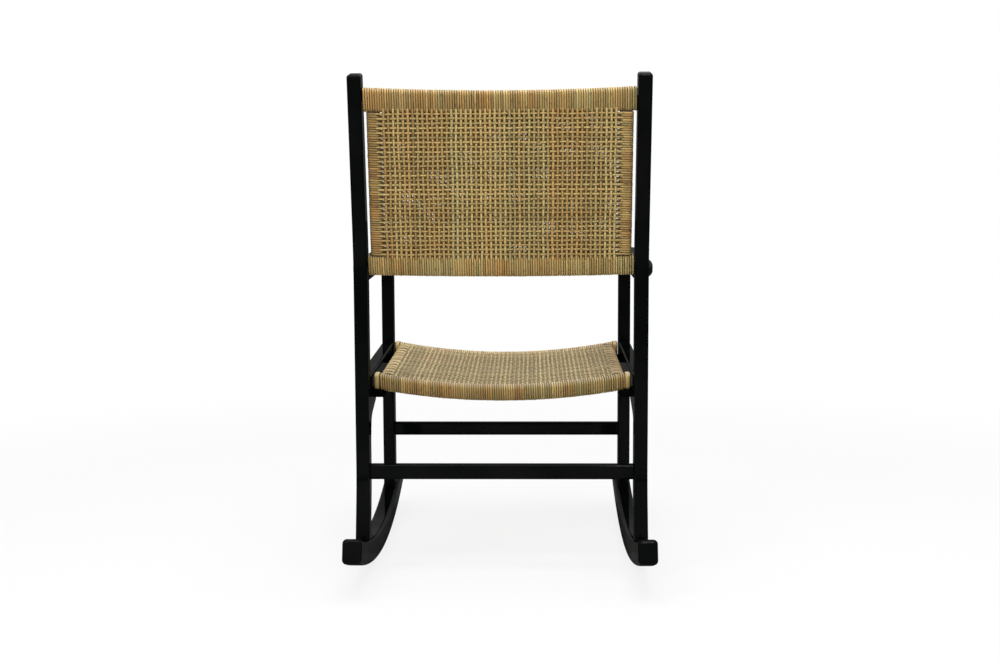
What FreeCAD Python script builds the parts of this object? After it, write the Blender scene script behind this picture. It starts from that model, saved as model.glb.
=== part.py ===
"""Bentwood rocking chair with a woven back panel and a woven seat panel.

Frame: millimetres, +Z up, the sitter faces +Y and +X is the sitter's right hand.
The origin is at the bottom centre of the chair, between the rockers.
The right-hand pieces are modelled and the left-hand ones are their mirror images.
"""
import FreeCAD, Part
import math
import os
import Sketcher

Vector = FreeCAD.Vector
Rotation = FreeCAD.Rotation

DRIVING = [
    ("chair_height", 917.5),
    ("post_spacing", 511.0),
    ("post_width", 25.0),
    ("post_depth", 40.0),
    ("post_rounding", 5.0),
    ("seat_frame_depth", 469.0),
    ("glue_line", 0.2),
    ("balance_point", 252.0),
    ("rocker_radius", 1375.0),
    ("rocker_height", 44.0),
    ("rocker_width", 34.5),
    ("rocker_rounding", 8.0),
    ("rocker_rear_reach", 432.0),
    ("rocker_front_reach", 367.0),
    ("rear_foot_angle", 13.0),
    ("foot_bend_height", 172.0),
    ("foot_bend_radius", 300.0),
    ("back_angle", 10.0),
    ("back_bend_height", 590.0),
    ("back_bend_radius", 500.0),
    ("stretcher_height", 192.0),
    ("stretcher_depth", 20.0),
    ("stretcher_thickness", 28.0),
    ("stretcher_rounding", 5.0),
    ("tenon_thickness", 11.0),
    ("tenon_shoulder", 6.0),
    ("rail_shoulder", 9.0),
    ("tenon_length", 16.0),
    ("seat_angle", 2.1),
    ("seat_height", 368.0),
    ("side_rail_width", 25.0),
    ("side_rail_height", 55.0),
    ("side_rail_rounding", 4.0),
    ("seat_setback", 62.0),
    ("seat_panel_gap", 5.0),
    ("seat_front_overhang", 31.0),
    ("seat_rail_height", 30.0),
    ("seat_rail_depth", 32.0),
    ("seat_bar_width", 26.0),
    ("seat_bar_inset", 6.5),
    ("seat_bar_height", 26.0),
    ("seat_bar_drop", 3.5),
    ("seat_dish", 23.5),
    ("seat_under_dish", 20.0),
    ("wrap_thickness", 2.4),
    ("wrap_rounding", 6.0),
    ("core_rounding", 2.0),
    ("weave_thickness", 4.4),
    ("back_panel_gap", 3.0),
    ("back_panel_foot", -34.0),
    ("back_panel_drop", 23.5),
    ("back_top_rail_height", 40.5),
    ("back_bottom_rail_height", 36.5),
    ("back_top_dip", 6.0),
    ("back_rail_dip", 2.5),
    ("back_foot_dip", 3.4),
    ("back_panel_depth", 24.0),
    ("back_bar_width", 25.0),
    ("back_bar_inset", 3.0),
    ("arm_height", 541.0),
    ("arm_angle", 1.5),
    ("arm_thickness", 31.0),
    ("arm_overhang", 33.0),
    ("arm_width", 46.0),
    ("arm_swell_length", 140.0),
    ("arm_outer_toe", 22.0),
    ("arm_inner_toe", 14.0),
    ("arm_rounding", 11.0),
    ("brace_rail_leg", 99.0),
    ("brace_post_leg", 103.0),
    ("brace_tip", 8.0),
    ("brace_leg_thickness", 20.0),
    ("brace_radius", 28.0),
    ("brace_width", 21.0),
    ("brace_rounding", 3.0),
    ("brace_seat", 6.0),
    ("brace_screw_reach", 76.0),
    ("block_reach", 27.0),
    ("block_slant", 5.0),
    ("block_height", 12.5),
    ("block_length", 48.0),
    ("block_overhang", 6.0),
    ("block_rounding", 2.0),
    ("block_screw_reach", 37.0),
    ("block_screw_drop", 6.9),
    ("dowel_diameter", 8.0),
    ("foot_dowel_length", 46.0),
    ("arm_dowel_length", 36.0),
    ("panel_dowel_length", 34.0),
    ("back_dowel_depth", 11.0),
    ("screw_diameter", 4.0),
    ("screw_head_diameter", 8.0),
    ("screw_head_height", 2.4),
    ("seat_screw_length", 30.0),
    ("seat_screw_inset", 8.0),
    ("block_screw_length", 34.0),
    ("brace_screw_length", 36.0),
]


class Size:
    """A length, angle or ratio with its number and its formula on the sheet."""

    def __init__(self, number, formula):
        self.number = number
        self.formula = formula

    def __add__(self, other):
        other = as_size(other)
        return Size(self.number + other.number, "(%s + %s)" % (self.formula, other.formula))

    def __sub__(self, other):
        other = as_size(other)
        return Size(self.number - other.number, "(%s - %s)" % (self.formula, other.formula))

    def __mul__(self, other):
        other = as_size(other)
        return Size(self.number * other.number, "(%s * %s)" % (self.formula, other.formula))

    def __truediv__(self, other):
        other = as_size(other)
        return Size(self.number / other.number, "(%s / %s)" % (self.formula, other.formula))

    def __neg__(self):
        return Size(-self.number, "(0 - %s)" % self.formula)

    def __radd__(self, other):
        return as_size(other) + self

    def __rsub__(self, other):
        return as_size(other) - self

    def __rmul__(self, other):
        return as_size(other) * self


def as_size(value):
    """Returns a plain number as a Size, and a Size as it is."""
    if isinstance(value, Size):
        return value
    return Size(float(value), "%.6f" % value)


def sine(angle):
    return Size(math.sin(math.radians(angle.number)), "sin(%s)" % angle.formula)


def cosine(angle):
    return Size(math.cos(math.radians(angle.number)), "cos(%s)" % angle.formula)


def tangent(angle):
    return Size(math.tan(math.radians(angle.number)), "tan(%s)" % angle.formula)


def root(value):
    return Size(math.sqrt(value.number), "sqrt(%s)" % value.formula)


def along(start, direction, distance):
    """Returns the point at a distance from start along a direction in a plane."""
    return (start[0] + direction[0] * distance, start[1] + direction[1] * distance)


def touch_point(point, centre, radius):
    """Returns where the line from a point touches a circle, on the side for a positive radius."""
    across = point[0] - centre[0]
    up = point[1] - centre[1]
    square = across * across + up * up
    near = radius * radius / square
    side = radius * root(square - radius * radius) / square
    return (centre[0] + across * near - up * side, centre[1] + up * near + across * side)


def make_sheet(doc):
    """Puts the driving dimensions in a spreadsheet and returns them by name."""
    sheet = doc.addObject("Spreadsheet::Sheet", "Sizes")
    sizes = {}
    for row, (alias, value) in enumerate(DRIVING, start=1):
        sheet.set("A%d" % row, alias)
        sheet.set("B%d" % row, repr(value))
        sheet.setAlias("B%d" % row, alias)
        sizes[alias] = Size(value, "Sizes." + alias)
    doc.recompute()
    return sizes


doc = FreeCAD.newDocument("RockingChair")
size = make_sheet(doc)


def bind(thing, name, value):
    """Gives a property its value and ties it to the sheet."""
    value = as_size(value)
    thing.setExpression(name, value.formula)


def place(thing, at, axis=(1, 0, 0), angle=None):
    """Places an object at a point, turned about an axis, both tied to the sheet."""
    corner = [as_size(value) for value in at]
    turn = Rotation()
    if angle is not None:
        turn = Rotation(Vector(*axis), angle.number)
    base = Vector(corner[0].number, corner[1].number, corner[2].number)
    thing.Placement = FreeCAD.Placement(base, turn)
    for letter, value in zip("xyz", corner):
        bind(thing, "Placement.Base." + letter, value)
    if angle is not None:
        bind(thing, "Placement.Rotation.Angle", angle)


def new_body(name, at=(0, 0, 0), axis=(1, 0, 0), angle=None):
    body = doc.addObject("PartDesign::Body", name)
    body.Label = name
    place(body, at, axis, angle)
    return body


def origin_plane(body, role):
    for feature in body.Origin.OriginFeatures:
        if feature.Role == role:
            return feature
    raise ValueError("no plane " + role)


def arc_between(start, end, radius):
    """Returns the short arc from start to end; a positive radius turns to the left."""
    middle = (start + end) * 0.5
    chord = end - start
    half = chord.Length / 2
    left = Vector(-chord.y, chord.x, 0).normalize()
    reach = math.sqrt(max(radius * radius - half * half, 0.0))
    side = 1 if radius > 0 else -1
    centre = middle + left * (side * reach)
    circle = Part.Circle(centre, Vector(0, 0, 1), abs(radius))
    first = math.atan2(start.y - centre.y, start.x - centre.x)
    last = math.atan2(end.y - centre.y, end.x - centre.x)
    if side > 0:
        return Part.ArcOfCircle(circle, first, last), True
    return Part.ArcOfCircle(circle, last, first), False


def tie_point(sketch, edge, end, point):
    """Holds one end of an edge at a point, measured from the sketch's origin."""
    for kind, value in (("DistanceX", point[0]), ("DistanceY", point[1])):
        value = as_size(value)
        constraint = Sketcher.Constraint(kind, -1, 1, edge, end, value.number)
        index = sketch.addConstraint(constraint)
        sketch.setExpression("Constraints[%d]" % index, value.formula)


def outline(body, name, plane, corners):
    """Draws a closed outline; a third value in a corner is the arc radius to the next."""
    sketch = body.newObject("Sketcher::SketchObject", name)
    sketch.AttachmentSupport = [(origin_plane(body, plane), "")]
    sketch.MapMode = "FlatFace"
    points = [Vector(as_size(c[0]).number, as_size(c[1]).number, 0) for c in corners]
    ends = []
    for index, corner in enumerate(corners):
        start = points[index]
        end = points[(index + 1) % len(points)]
        if len(corner) == 3:
            curve, forward = arc_between(start, end, as_size(corner[2]).number)
            edge = sketch.addGeometry(curve, False)
            ends.append((edge, 1, 2) if forward else (edge, 2, 1))
        else:
            edge = sketch.addGeometry(Part.LineSegment(start, end), False)
            ends.append((edge, 1, 2))
    for index, corner in enumerate(corners):
        edge, first, last = ends[index]
        following = ends[(index + 1) % len(ends)]
        sketch.addConstraint(Sketcher.Constraint("Coincident", edge, last, following[0], following[1]))
        tie_point(sketch, edge, first, corner)
        if len(corner) == 3:
            radius = as_size(corner[2])
            if radius.number < 0:
                radius = -radius
            held = sketch.addConstraint(Sketcher.Constraint("Radius", edge, radius.number))
            sketch.setExpression("Constraints[%d]" % held, radius.formula)
    return sketch


def pad(body, sketch, length):
    """Pads a sketch equally to both sides of its plane."""
    feature = body.newObject("PartDesign::Pad", "Pad")
    feature.Profile = sketch
    feature.SideType = "Symmetric"
    bind(feature, "Length", length)
    doc.recompute()
    return feature


def pocket(body, sketch, length):
    """Cuts a sketch equally to both sides of its plane."""
    feature = body.newObject("PartDesign::Pocket", "Pocket")
    feature.Profile = sketch
    feature.SideType = "Symmetric"
    bind(feature, "Length", length)
    doc.recompute()
    return feature


def block(body, lengths, centre, axis=(1, 0, 0), angle=None, cut=False):
    """Adds or cuts a box given by its three lengths and its centre."""
    kind = "PartDesign::SubtractiveBox" if cut else "PartDesign::AdditiveBox"
    feature = body.newObject(kind, "Block")
    sides = [as_size(value) for value in lengths]
    for name, side in zip(("Length", "Width", "Height"), sides):
        bind(feature, name, side)
    half = [side / 2 for side in sides]
    if angle is None:
        corner = [as_size(c) - h for c, h in zip(centre, half)]
    else:
        turned_y = half[1] * cosine(angle) - half[2] * sine(angle)
        turned_z = half[1] * sine(angle) + half[2] * cosine(angle)
        corner = [as_size(centre[0]) - half[0], centre[1] - turned_y, centre[2] - turned_z]
    place(feature, corner, axis, angle)
    doc.recompute()
    return feature


def drill(body, diameter, length, start, axis=(1, 0, 0), angle=None, cut=True):
    """Cuts, or adds, a round rod from a start point along Z turned about an axis."""
    kind = "PartDesign::SubtractiveCylinder" if cut else "PartDesign::AdditiveCylinder"
    feature = body.newObject(kind, "Rod")
    bind(feature, "Radius", as_size(diameter) / 2)
    bind(feature, "Height", length)
    place(feature, start, axis, angle)
    doc.recompute()
    return feature


def edge_points(edge):
    """Returns the first, the middle and the last point of an edge."""
    first = edge.FirstParameter
    last = edge.LastParameter
    return [edge.valueAt(first), edge.valueAt((first + last) / 2), edge.valueAt(last)]


def edges_where(shape, test):
    """Returns the names of the edges of which all three points pass a test."""
    names = []
    for number, edge in enumerate(shape.Edges, start=1):
        if all(test(point) for point in edge_points(edge)):
            names.append("Edge%d" % number)
    return names


def edges_along(shape, direction):
    """Returns the names of the straight edges along a direction."""
    names = []
    for number, edge in enumerate(shape.Edges, start=1):
        first, middle, last = edge_points(edge)
        way = last - first
        parallel = abs(way.dot(direction)) > (1 - TOUCH) * way.Length
        straight = (middle - (first + last) * 0.5).Length < TOUCH
        if parallel and straight:
            names.append("Edge%d" % number)
    return names


def every_edge(shape):
    return edges_where(shape, lambda point: True)


def round_edges(body, feature, names, radius):
    """Rounds the named edges of a feature."""
    fillet = body.newObject("PartDesign::Fillet", "Rounding")
    fillet.Base = (feature, names)
    bind(fillet, "Radius", radius)
    doc.recompute()
    return fillet


def mirrored(body):
    """Makes the left-hand piece as the mirror image of the right-hand one."""
    name = body.Label.replace("_right", "_left")
    copy = doc.addObject("Part::Mirroring", name)
    copy.Label = name
    copy.Source = body
    copy.Normal = Vector(1, 0, 0)
    doc.recompute()
    return copy


# Places that several pieces share
glue = size["glue_line"]
nothing = as_size(0.0)
half_spacing = size["post_spacing"] / 2
half_post = size["post_width"] / 2
post_inner = half_spacing - half_post
touch_y = (size["rocker_rear_reach"] - size["rocker_front_reach"]) / 2
rear_face = touch_y - size["balance_point"]
rear_middle = rear_face + size["post_depth"] / 2
rear_front = rear_face + size["post_depth"]
front_face = rear_face + size["seat_frame_depth"]
front_middle = front_face + size["post_depth"] / 2
rocker_top_radius = size["rocker_radius"] - size["rocker_height"]
foot_radius = rocker_top_radius - glue
seat_y = rear_face + size["seat_setback"]
seat_z = size["seat_height"]
slope = size["seat_angle"]
rake = size["rear_foot_angle"]
recline = size["back_angle"]
arm_lean = size["arm_angle"]
arm_y = rear_front + glue
arm_z = size["arm_height"] + size["arm_thickness"] / 2
right_angle = as_size(90.0)
dowel_hole = size["dowel_diameter"] + glue * 2
foot_hole_length = size["foot_dowel_length"] + glue * 2
arm_hole_length = size["arm_dowel_length"] + glue * 2
stretcher_tenon = size["stretcher_thickness"] - size["tenon_shoulder"] * 2
rail_tenon = size["side_rail_height"] - size["rail_shoulder"] * 2
screw_hole = size["screw_diameter"] + glue * 2
head_hole = size["screw_head_diameter"] + glue * 2
OVERCUT = 1.0
TOUCH = 0.001


def in_frame(centre, angle, y, z):
    """Returns the chair's Y and Z of a point of a frame turned about X."""
    across = y * cosine(angle) - z * sine(angle)
    up = y * sine(angle) + z * cosine(angle)
    return (centre[0] + across, centre[1] + up)


def in_seat(y, z):
    return in_frame((seat_y, seat_z), slope, as_size(y), as_size(z))


def in_back(y, z):
    return in_frame((rear_middle, size["back_bend_height"]), recline, as_size(y), as_size(z))


def in_arm(y, z):
    return in_frame((arm_y, arm_z), arm_lean, as_size(y), as_size(z))


def arm_underside(y):
    """Returns the height of the arm's underside above a place of the chair."""
    return arm_z + (y - arm_y) * tangent(arm_lean) - size["arm_thickness"] / 2 / cosine(arm_lean)


def rail_top(y):
    """Returns the height of the seat side rail's top above a place of the chair."""
    return seat_z + (y - seat_y) * tangent(slope)


def rail_underside(y):
    return rail_top(y) - size["side_rail_height"] / cosine(slope)


def rocker_level(y, radius):
    """Returns the height of an arc of the rocker at a place along the chair."""
    away = y - touch_y
    return size["rocker_radius"] - root(radius * radius - away * away)


class Dip:
    """An arc that dips below its two ends, in the plane of a panel."""

    def __init__(self, half, end, dip):
        self.radius = (half * half + dip * dip) / (dip * 2)
        self.centre = end - dip + self.radius

    def level(self, x, lower=nothing):
        """Returns the height at a place across, of the arc or of one offset below it."""
        radius = self.radius + lower
        return self.centre - root(radius * radius - x * x)


def rail_middle(y):
    """Returns the middle height of the seat side rail at a place of the chair."""
    return (rail_top(y) + rail_underside(y)) / 2


def brace_seat_level(y):
    """Returns the height at which a screw head sits in the knee brace's rail leg."""
    return rail_underside(y) - glue - size["brace_seat"]


# The two panels' arcs and the places of their bars and screws
seat_half = post_inner - size["seat_panel_gap"]
seat_depth = size["seat_frame_depth"] - size["seat_setback"] + size["seat_front_overhang"]
seat_top = Dip(seat_half, nothing, size["seat_dish"])
seat_low = Dip(seat_half, -size["seat_rail_height"], size["seat_under_dish"])
seat_bar_x = seat_half - size["seat_bar_inset"] - size["seat_bar_width"] / 2
seat_bar_middle = -size["seat_bar_drop"] - size["seat_bar_height"] / 2
seat_field_half = seat_half - size["seat_bar_inset"] - size["seat_bar_width"] - glue
back_half = post_inner - size["back_panel_gap"]
back_drop = size["chair_height"] - size["back_bend_height"] - size["post_depth"] / 2 * sine(recline)
back_rise = back_drop / cosine(recline)
back_top_end = back_rise - size["back_panel_drop"]
back_top_low_end = back_top_end - size["back_top_rail_height"]
back_low_end = size["back_panel_foot"]
back_low_top_end = back_low_end + size["back_bottom_rail_height"]
back_top = Dip(back_half, back_top_end, size["back_top_dip"])
back_top_low = Dip(back_half, back_top_low_end, size["back_rail_dip"])
back_low_top = Dip(back_half, back_low_top_end, size["back_rail_dip"])
back_low = Dip(back_half, back_low_end, size["back_foot_dip"])
back_bar_x = back_half - size["back_bar_inset"] - size["back_bar_width"] / 2
back_field_half = back_half - size["back_bar_inset"] - size["back_bar_width"] - glue
back_dowel_low = back_low_end + size["back_bottom_rail_height"] / 2
back_dowel_high = back_top_end - size["back_top_rail_height"] / 2
brace_y = rear_front + glue
brace_post_screw = rail_underside(brace_y) - size["brace_screw_reach"]
brace_rail_screw = brace_y + size["brace_screw_reach"]
block_under = -size["seat_rail_height"] - glue - size["block_height"]
block_screw_level = -size["seat_rail_height"] - glue - size["block_screw_drop"]
block_inner = post_inner - glue - size["block_reach"]
block_rear_middle = size["block_length"] / 2 - size["block_overhang"]
block_front_middle = seat_depth - block_rear_middle
block_rear_screw = size["block_screw_reach"]
block_front_screw = seat_depth - size["block_screw_reach"]
seat_rail_middle = size["seat_rail_depth"] / 2
seat_front_middle = seat_depth - seat_rail_middle
seat_screw_x = seat_half - size["seat_screw_inset"]


def dished_outline(body, half, top, low, inset=nothing):
    """Draws the front view of a bar between two dipping arcs, both set in alike."""
    corners = [
        (-half, low.level(half, -inset), low.radius - inset),
        (half, low.level(half, -inset)),
        (half, top.level(half, inset), -(top.radius + inset)),
        (-half, top.level(half, inset)),
    ]
    return outline(body, "FrontView", "XZ_Plane", corners)


def foot_point(offset, radius):
    """Returns where a line beside the raked foot's centre meets an arc of the rocker."""
    bend = (rear_middle + offset * cosine(rake), size["foot_bend_height"] - offset * sine(rake))
    down = (-sine(rake), -cosine(rake))
    away = (bend[0] - touch_y, bend[1] - size["rocker_radius"])
    advance = down[0] * away[0] + down[1] * away[1]
    square = away[0] * away[0] + away[1] * away[1] - radius * radius
    return along(bend, down, root(advance * advance - square) - advance)


def rear_foot_dowel(extra):
    """Returns the lower end of the rear foot dowel, or of its hole with some extra."""
    half = size["foot_dowel_length"] / 2 + extra
    foot = foot_point(nothing, rocker_top_radius)
    return (foot[0] - half * sine(rake), foot[1] - half * cosine(rake))


def front_foot_dowel(extra):
    half = size["foot_dowel_length"] / 2 + extra
    return (front_middle, rocker_level(front_middle, rocker_top_radius) - half)


def rear_arm_dowel(extra):
    """Returns the rear end of the dowel between the rear post and the arm."""
    return in_arm(-(size["arm_dowel_length"] / 2 + extra), nothing)


def front_arm_dowel(extra):
    """Returns the lower end of the dowel between the front post and the arm."""
    half = size["arm_dowel_length"] / 2 + extra
    return in_arm(front_dowel_place(), -(size["arm_thickness"] / 2) - half)


def front_dowel_place():
    """Returns how far along the arm the middle of the front post lies."""
    return (front_middle - arm_y - size["arm_thickness"] / 2 * sine(arm_lean)) / cosine(arm_lean)


def make_rocker():
    """A bent bar on a circle, with its ends cut square to the curve."""
    body = new_body("rocker_right", (half_spacing, touch_y, 0))
    radius = size["rocker_radius"]
    share = rocker_top_radius / radius
    rear = size["rocker_rear_reach"]
    front = size["rocker_front_reach"]
    rear_down = root(radius * radius - rear * rear)
    front_down = root(radius * radius - front * front)
    corners = [
        (-rear, radius - rear_down, radius),
        (front, radius - front_down),
        (front * share, radius - front_down * share, -rocker_top_radius),
        (-(rear * share), radius - rear_down * share),
    ]
    bar = pad(body, outline(body, "SideView", "YZ_Plane", corners), size["rocker_width"])
    round_edges(body, bar, every_edge(bar.Shape), size["rocker_rounding"])
    rear_hole = rear_foot_dowel(glue)
    front_hole = front_foot_dowel(glue)
    start = (0, rear_hole[0] - touch_y, rear_hole[1])
    drill(body, dowel_hole, foot_hole_length, start, (-1, 0, 0), rake)
    start = (0, front_hole[0] - touch_y, front_hole[1])
    drill(body, dowel_hole, foot_hole_length, start)
    return body


def rear_side(offset):
    """Returns the points of one face of the rear post, from its foot to its top."""
    low = size["foot_bend_height"]
    high = size["back_bend_height"]
    low_reach = size["foot_bend_radius"] * tangent(rake / 2)
    high_reach = size["back_bend_radius"] * tangent(recline / 2)
    low_start = (rear_middle - low_reach * sine(rake) + offset * cosine(rake),
                 low - low_reach * cosine(rake) - offset * sine(rake))
    low_end = (rear_middle + offset, low + low_reach)
    high_start = (rear_middle + offset, high - high_reach)
    high_end = in_back(offset, high_reach)
    foot = foot_point(offset, foot_radius)
    return [foot, low_start, low_end, high_start, high_end, in_back(offset, back_rise)]


def make_rear_post():
    """A bent post: raked foot on the rocker, upright middle and reclined top."""
    body = new_body("rear_post_right", (half_spacing, 0, 0))
    half = size["post_depth"] / 2
    front = rear_side(half)
    rear = rear_side(-half)
    bend = size["foot_bend_radius"]
    lean = size["back_bend_radius"]
    corners = [
        front[0],
        front[1] + (bend + half,),
        front[2],
        front[3] + (lean + half,),
        front[4],
        front[5],
        rear[5],
        rear[4] + (-(lean - half),),
        rear[3],
        rear[2] + (-(bend - half),),
        rear[1],
        rear[0] + (foot_radius,),
    ]
    bar = pad(body, outline(body, "SideView", "YZ_Plane", corners), size["post_width"])
    foot_top = max(front[0][1].number, rear[0][1].number)
    top_low = rear[5][1].number - OVERCUT
    names = edges_where(bar.Shape, lambda point: abs(point.x) > OVERCUT or point.z > top_low)
    low_names = edges_where(bar.Shape, lambda point: point.z < foot_top + OVERCUT)
    names = [name for name in names if name not in low_names]
    round_edges(body, bar, names, size["post_rounding"])
    cut_stretcher_mortise(body, rear_middle)
    cut_rail_mortise(body, rear_front - size["tenon_length"] / 2, rear_front)
    drill(body, dowel_hole, foot_hole_length, (0,) + rear_foot_dowel(glue), (-1, 0, 0), rake)
    start = (0,) + rear_arm_dowel(glue)
    drill(body, dowel_hole, arm_hole_length, start, (-1, 0, 0), right_angle - arm_lean)
    depth = size["back_dowel_depth"] + glue + OVERCUT
    for height in (back_dowel_low, back_dowel_high):
        start = (-half_post - OVERCUT,) + in_back(0, height)
        drill(body, dowel_hole, depth, start, (0, 1, 0), right_angle)
    start = (0, brace_y + size["brace_seat"], brace_post_screw)
    drill(body, screw_hole, size["brace_screw_length"] + glue, start, angle=right_angle)
    return body


def cut_stretcher_mortise(body, middle_y):
    """Cuts the pocket in a post's inner face that takes a stretcher's tenon."""
    depth = size["tenon_length"] + glue + OVERCUT
    lengths = (depth, size["tenon_thickness"] + glue * 2, stretcher_tenon + glue * 2)
    centre = (depth / 2 - half_post - OVERCUT, middle_y, size["stretcher_height"])
    block(body, lengths, centre, cut=True)


def cut_rail_mortise(body, middle_y, face_y):
    """Cuts the pocket in a post that takes the seat side rail's tenon."""
    thickness = size["tenon_thickness"] + glue * 2
    depth = size["tenon_length"] + (glue + OVERCUT) * 2
    centre = (0, middle_y, rail_middle(face_y))
    block(body, (thickness, depth, rail_tenon + glue * 2), centre, cut=True)


def make_front_post():
    """A straight post between the rocker and the arm, its foot cut to the rocker."""
    body = new_body("front_post_right", (half_spacing, 0, 0))
    front = front_face + size["post_depth"]
    corners = [
        (front_face, rocker_level(front_face, foot_radius), foot_radius),
        (front, rocker_level(front, foot_radius)),
        (front, arm_underside(front) - glue),
        (front_face, arm_underside(front_face) - glue),
    ]
    bar = pad(body, outline(body, "SideView", "YZ_Plane", corners), size["post_width"])
    names = edges_along(bar.Shape, Vector(0, 0, 1))
    round_edges(body, bar, names, size["post_rounding"])
    cut_stretcher_mortise(body, front_middle)
    cut_rail_mortise(body, front_face + size["tenon_length"] / 2, front_face)
    drill(body, dowel_hole, foot_hole_length, (0,) + front_foot_dowel(glue))
    drill(body, dowel_hole, arm_hole_length, (0,) + front_arm_dowel(glue), angle=arm_lean)
    return body


def make_arm():
    """A shaped arm that swells outward from the rear post and is rounded in front."""
    body = new_body("arm_right", (half_spacing, arm_y, arm_z), angle=arm_lean)
    swell = size["arm_width"] - size["post_width"]
    reach = size["arm_swell_length"]
    curve = (reach * reach + swell * swell) / (swell * 4)
    outer = half_post + swell
    length = (front_face + size["post_depth"] - arm_y) / cosine(arm_lean) + size["arm_overhang"]
    toe = size["arm_outer_toe"]
    heel = size["arm_inner_toe"]
    corners = [
        (half_post, 0, -curve),
        (half_post + swell / 2, reach / 2, curve),
        (outer, reach),
        (outer, length - toe, toe),
        (outer - toe, length),
        (heel - half_post, length, heel),
        (-half_post, length - heel),
        (-half_post, 0),
    ]
    bar = pad(body, outline(body, "PlanView", "XY_Plane", corners), size["arm_thickness"])
    names = edges_where(bar.Shape, lambda point: abs(point.z) > OVERCUT)
    rear_names = edges_where(bar.Shape, lambda point: point.y < OVERCUT)
    round_edges(body, bar, [name for name in names if name not in rear_names], size["arm_rounding"])
    half = size["arm_dowel_length"] / 2 + glue
    drill(body, dowel_hole, half + OVERCUT, (0, -OVERCUT, 0), (-1, 0, 0), right_angle)
    under = -(size["arm_thickness"] / 2)
    drill(body, dowel_hole, half + OVERCUT, (0, front_dowel_place(), under - OVERCUT))
    return body


def make_side_rail():
    """A seat side rail between the posts, with a tenon at each end."""
    body = new_body("seat_side_rail_right", (half_spacing, 0, 0))
    rear = rear_front + glue
    front = front_face - glue
    corners = [
        (rear, rail_underside(rear)),
        (front, rail_underside(front)),
        (front, rail_top(front)),
        (rear, rail_top(rear)),
    ]
    bar = pad(body, outline(body, "SideView", "YZ_Plane", corners), size["side_rail_width"])
    ends = edges_along(bar.Shape, Vector(0, 0, 1)) + edges_along(bar.Shape, Vector(1, 0, 0))
    names = [name for name in every_edge(bar.Shape) if name not in ends]
    round_edges(body, bar, names, size["side_rail_rounding"])
    lengths = (size["tenon_thickness"], size["tenon_length"] * 2, rail_tenon)
    block(body, lengths, (0, rear_front, rail_middle(rear_front)))
    block(body, lengths, (0, front_face, rail_middle(front_face)))
    start = (0, brace_rail_screw, brace_seat_level(brace_rail_screw))
    drill(body, screw_hole, size["brace_screw_length"] + glue, start)
    for y in (block_rear_screw, block_front_screw):
        middle = in_seat(y, block_screw_level)
        start = (-half_post - OVERCUT, middle[0], middle[1])
        drill(body, screw_hole, size["block_screw_length"], start, (0, 1, 0), right_angle)
    return body


def make_stretcher(name, middle_y):
    """A level bar across the chair with a tenon at each end."""
    body = new_body(name, (0, middle_y, size["stretcher_height"]))
    reach = (post_inner - glue) * 2
    bar = block(body, (reach, size["stretcher_depth"], size["stretcher_thickness"]), (0, 0, 0))
    names = edges_along(bar.Shape, Vector(1, 0, 0))
    round_edges(body, bar, names, size["stretcher_rounding"])
    reach = (post_inner + size["tenon_length"]) * 2
    block(body, (reach, size["tenon_thickness"], stretcher_tenon), (0, 0, 0))
    return body


def make_brace():
    """A bracket with a hollow curve in the corner of rear post and side rail."""
    body = new_body("knee_brace_right", (half_spacing, 0, 0))
    top = rail_underside(brace_y) - glue
    end = brace_y + size["brace_rail_leg"]
    leg = size["brace_leg_thickness"]
    curve = size["brace_radius"]
    hollow = (brace_y + leg + curve, top - leg - curve)
    post_tip = (brace_y + size["brace_tip"], top - size["brace_post_leg"])
    rail_tip = (end, rail_underside(end) - glue - size["brace_tip"])
    corners = [
        (brace_y, top - size["brace_post_leg"]),
        post_tip,
        touch_point(post_tip, hollow, -curve) + (-curve,),
        touch_point(rail_tip, hollow, curve),
        rail_tip,
        (end, rail_underside(end) - glue),
        (brace_y, top),
    ]
    bar = pad(body, outline(body, "SideView", "YZ_Plane", corners), size["brace_width"])
    clear_y = brace_y.number + OVERCUT
    lean = math.tan(math.radians(slope.number))
    names = edges_where(
        bar.Shape,
        lambda point: abs(point.x) > OVERCUT
        and point.y > clear_y
        and point.z < top.number + (point.y - brace_y.number) * lean - OVERCUT,
    )
    round_edges(body, bar, names, size["brace_rounding"])
    seat = brace_seat_level(brace_rail_screw)
    drill(body, head_hole, leg + curve, (0, brace_rail_screw, seat - leg - curve))
    drill(body, screw_hole, leg, (0, brace_rail_screw, seat - OVERCUT))
    seat = brace_y + size["brace_seat"]
    drill(body, head_hole, leg + curve, (0, seat + leg + curve, brace_post_screw), angle=right_angle)
    drill(body, screw_hole, leg, (0, seat + OVERCUT, brace_post_screw), angle=right_angle)
    return body


def make_corner_block(name, middle, side_screw, seat_screw):
    """A block on the side rail that carries a corner of the seat panel."""
    centre = in_seat(middle, 0)
    body = new_body(name, (0, centre[0], centre[1]), angle=slope)
    outer = post_inner - glue
    under = -size["seat_rail_height"] - glue
    corners = [
        (block_inner + size["block_slant"], block_under),
        (outer, block_under),
        (outer, under),
        (seat_half, under),
        (block_inner, seat_low.level(block_inner) - glue),
    ]
    plate = pad(body, outline(body, "FrontView", "XZ_Plane", corners), size["block_length"])
    round_edges(body, plate, edges_along(plate.Shape, Vector(0, 1, 0)), size["block_rounding"])
    start = (block_inner - OVERCUT, side_screw - middle, block_screw_level)
    recess = size["block_slant"] + size["screw_head_height"] + OVERCUT + glue
    drill(body, head_hole, recess, start, (0, 1, 0), right_angle)
    drill(body, screw_hole, size["block_reach"] + OVERCUT * 2, start, (0, 1, 0), right_angle)
    start = (seat_screw_x, seat_screw - middle, block_under - OVERCUT)
    drill(body, screw_hole, size["block_height"] + OVERCUT * 2, start)
    return body


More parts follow.
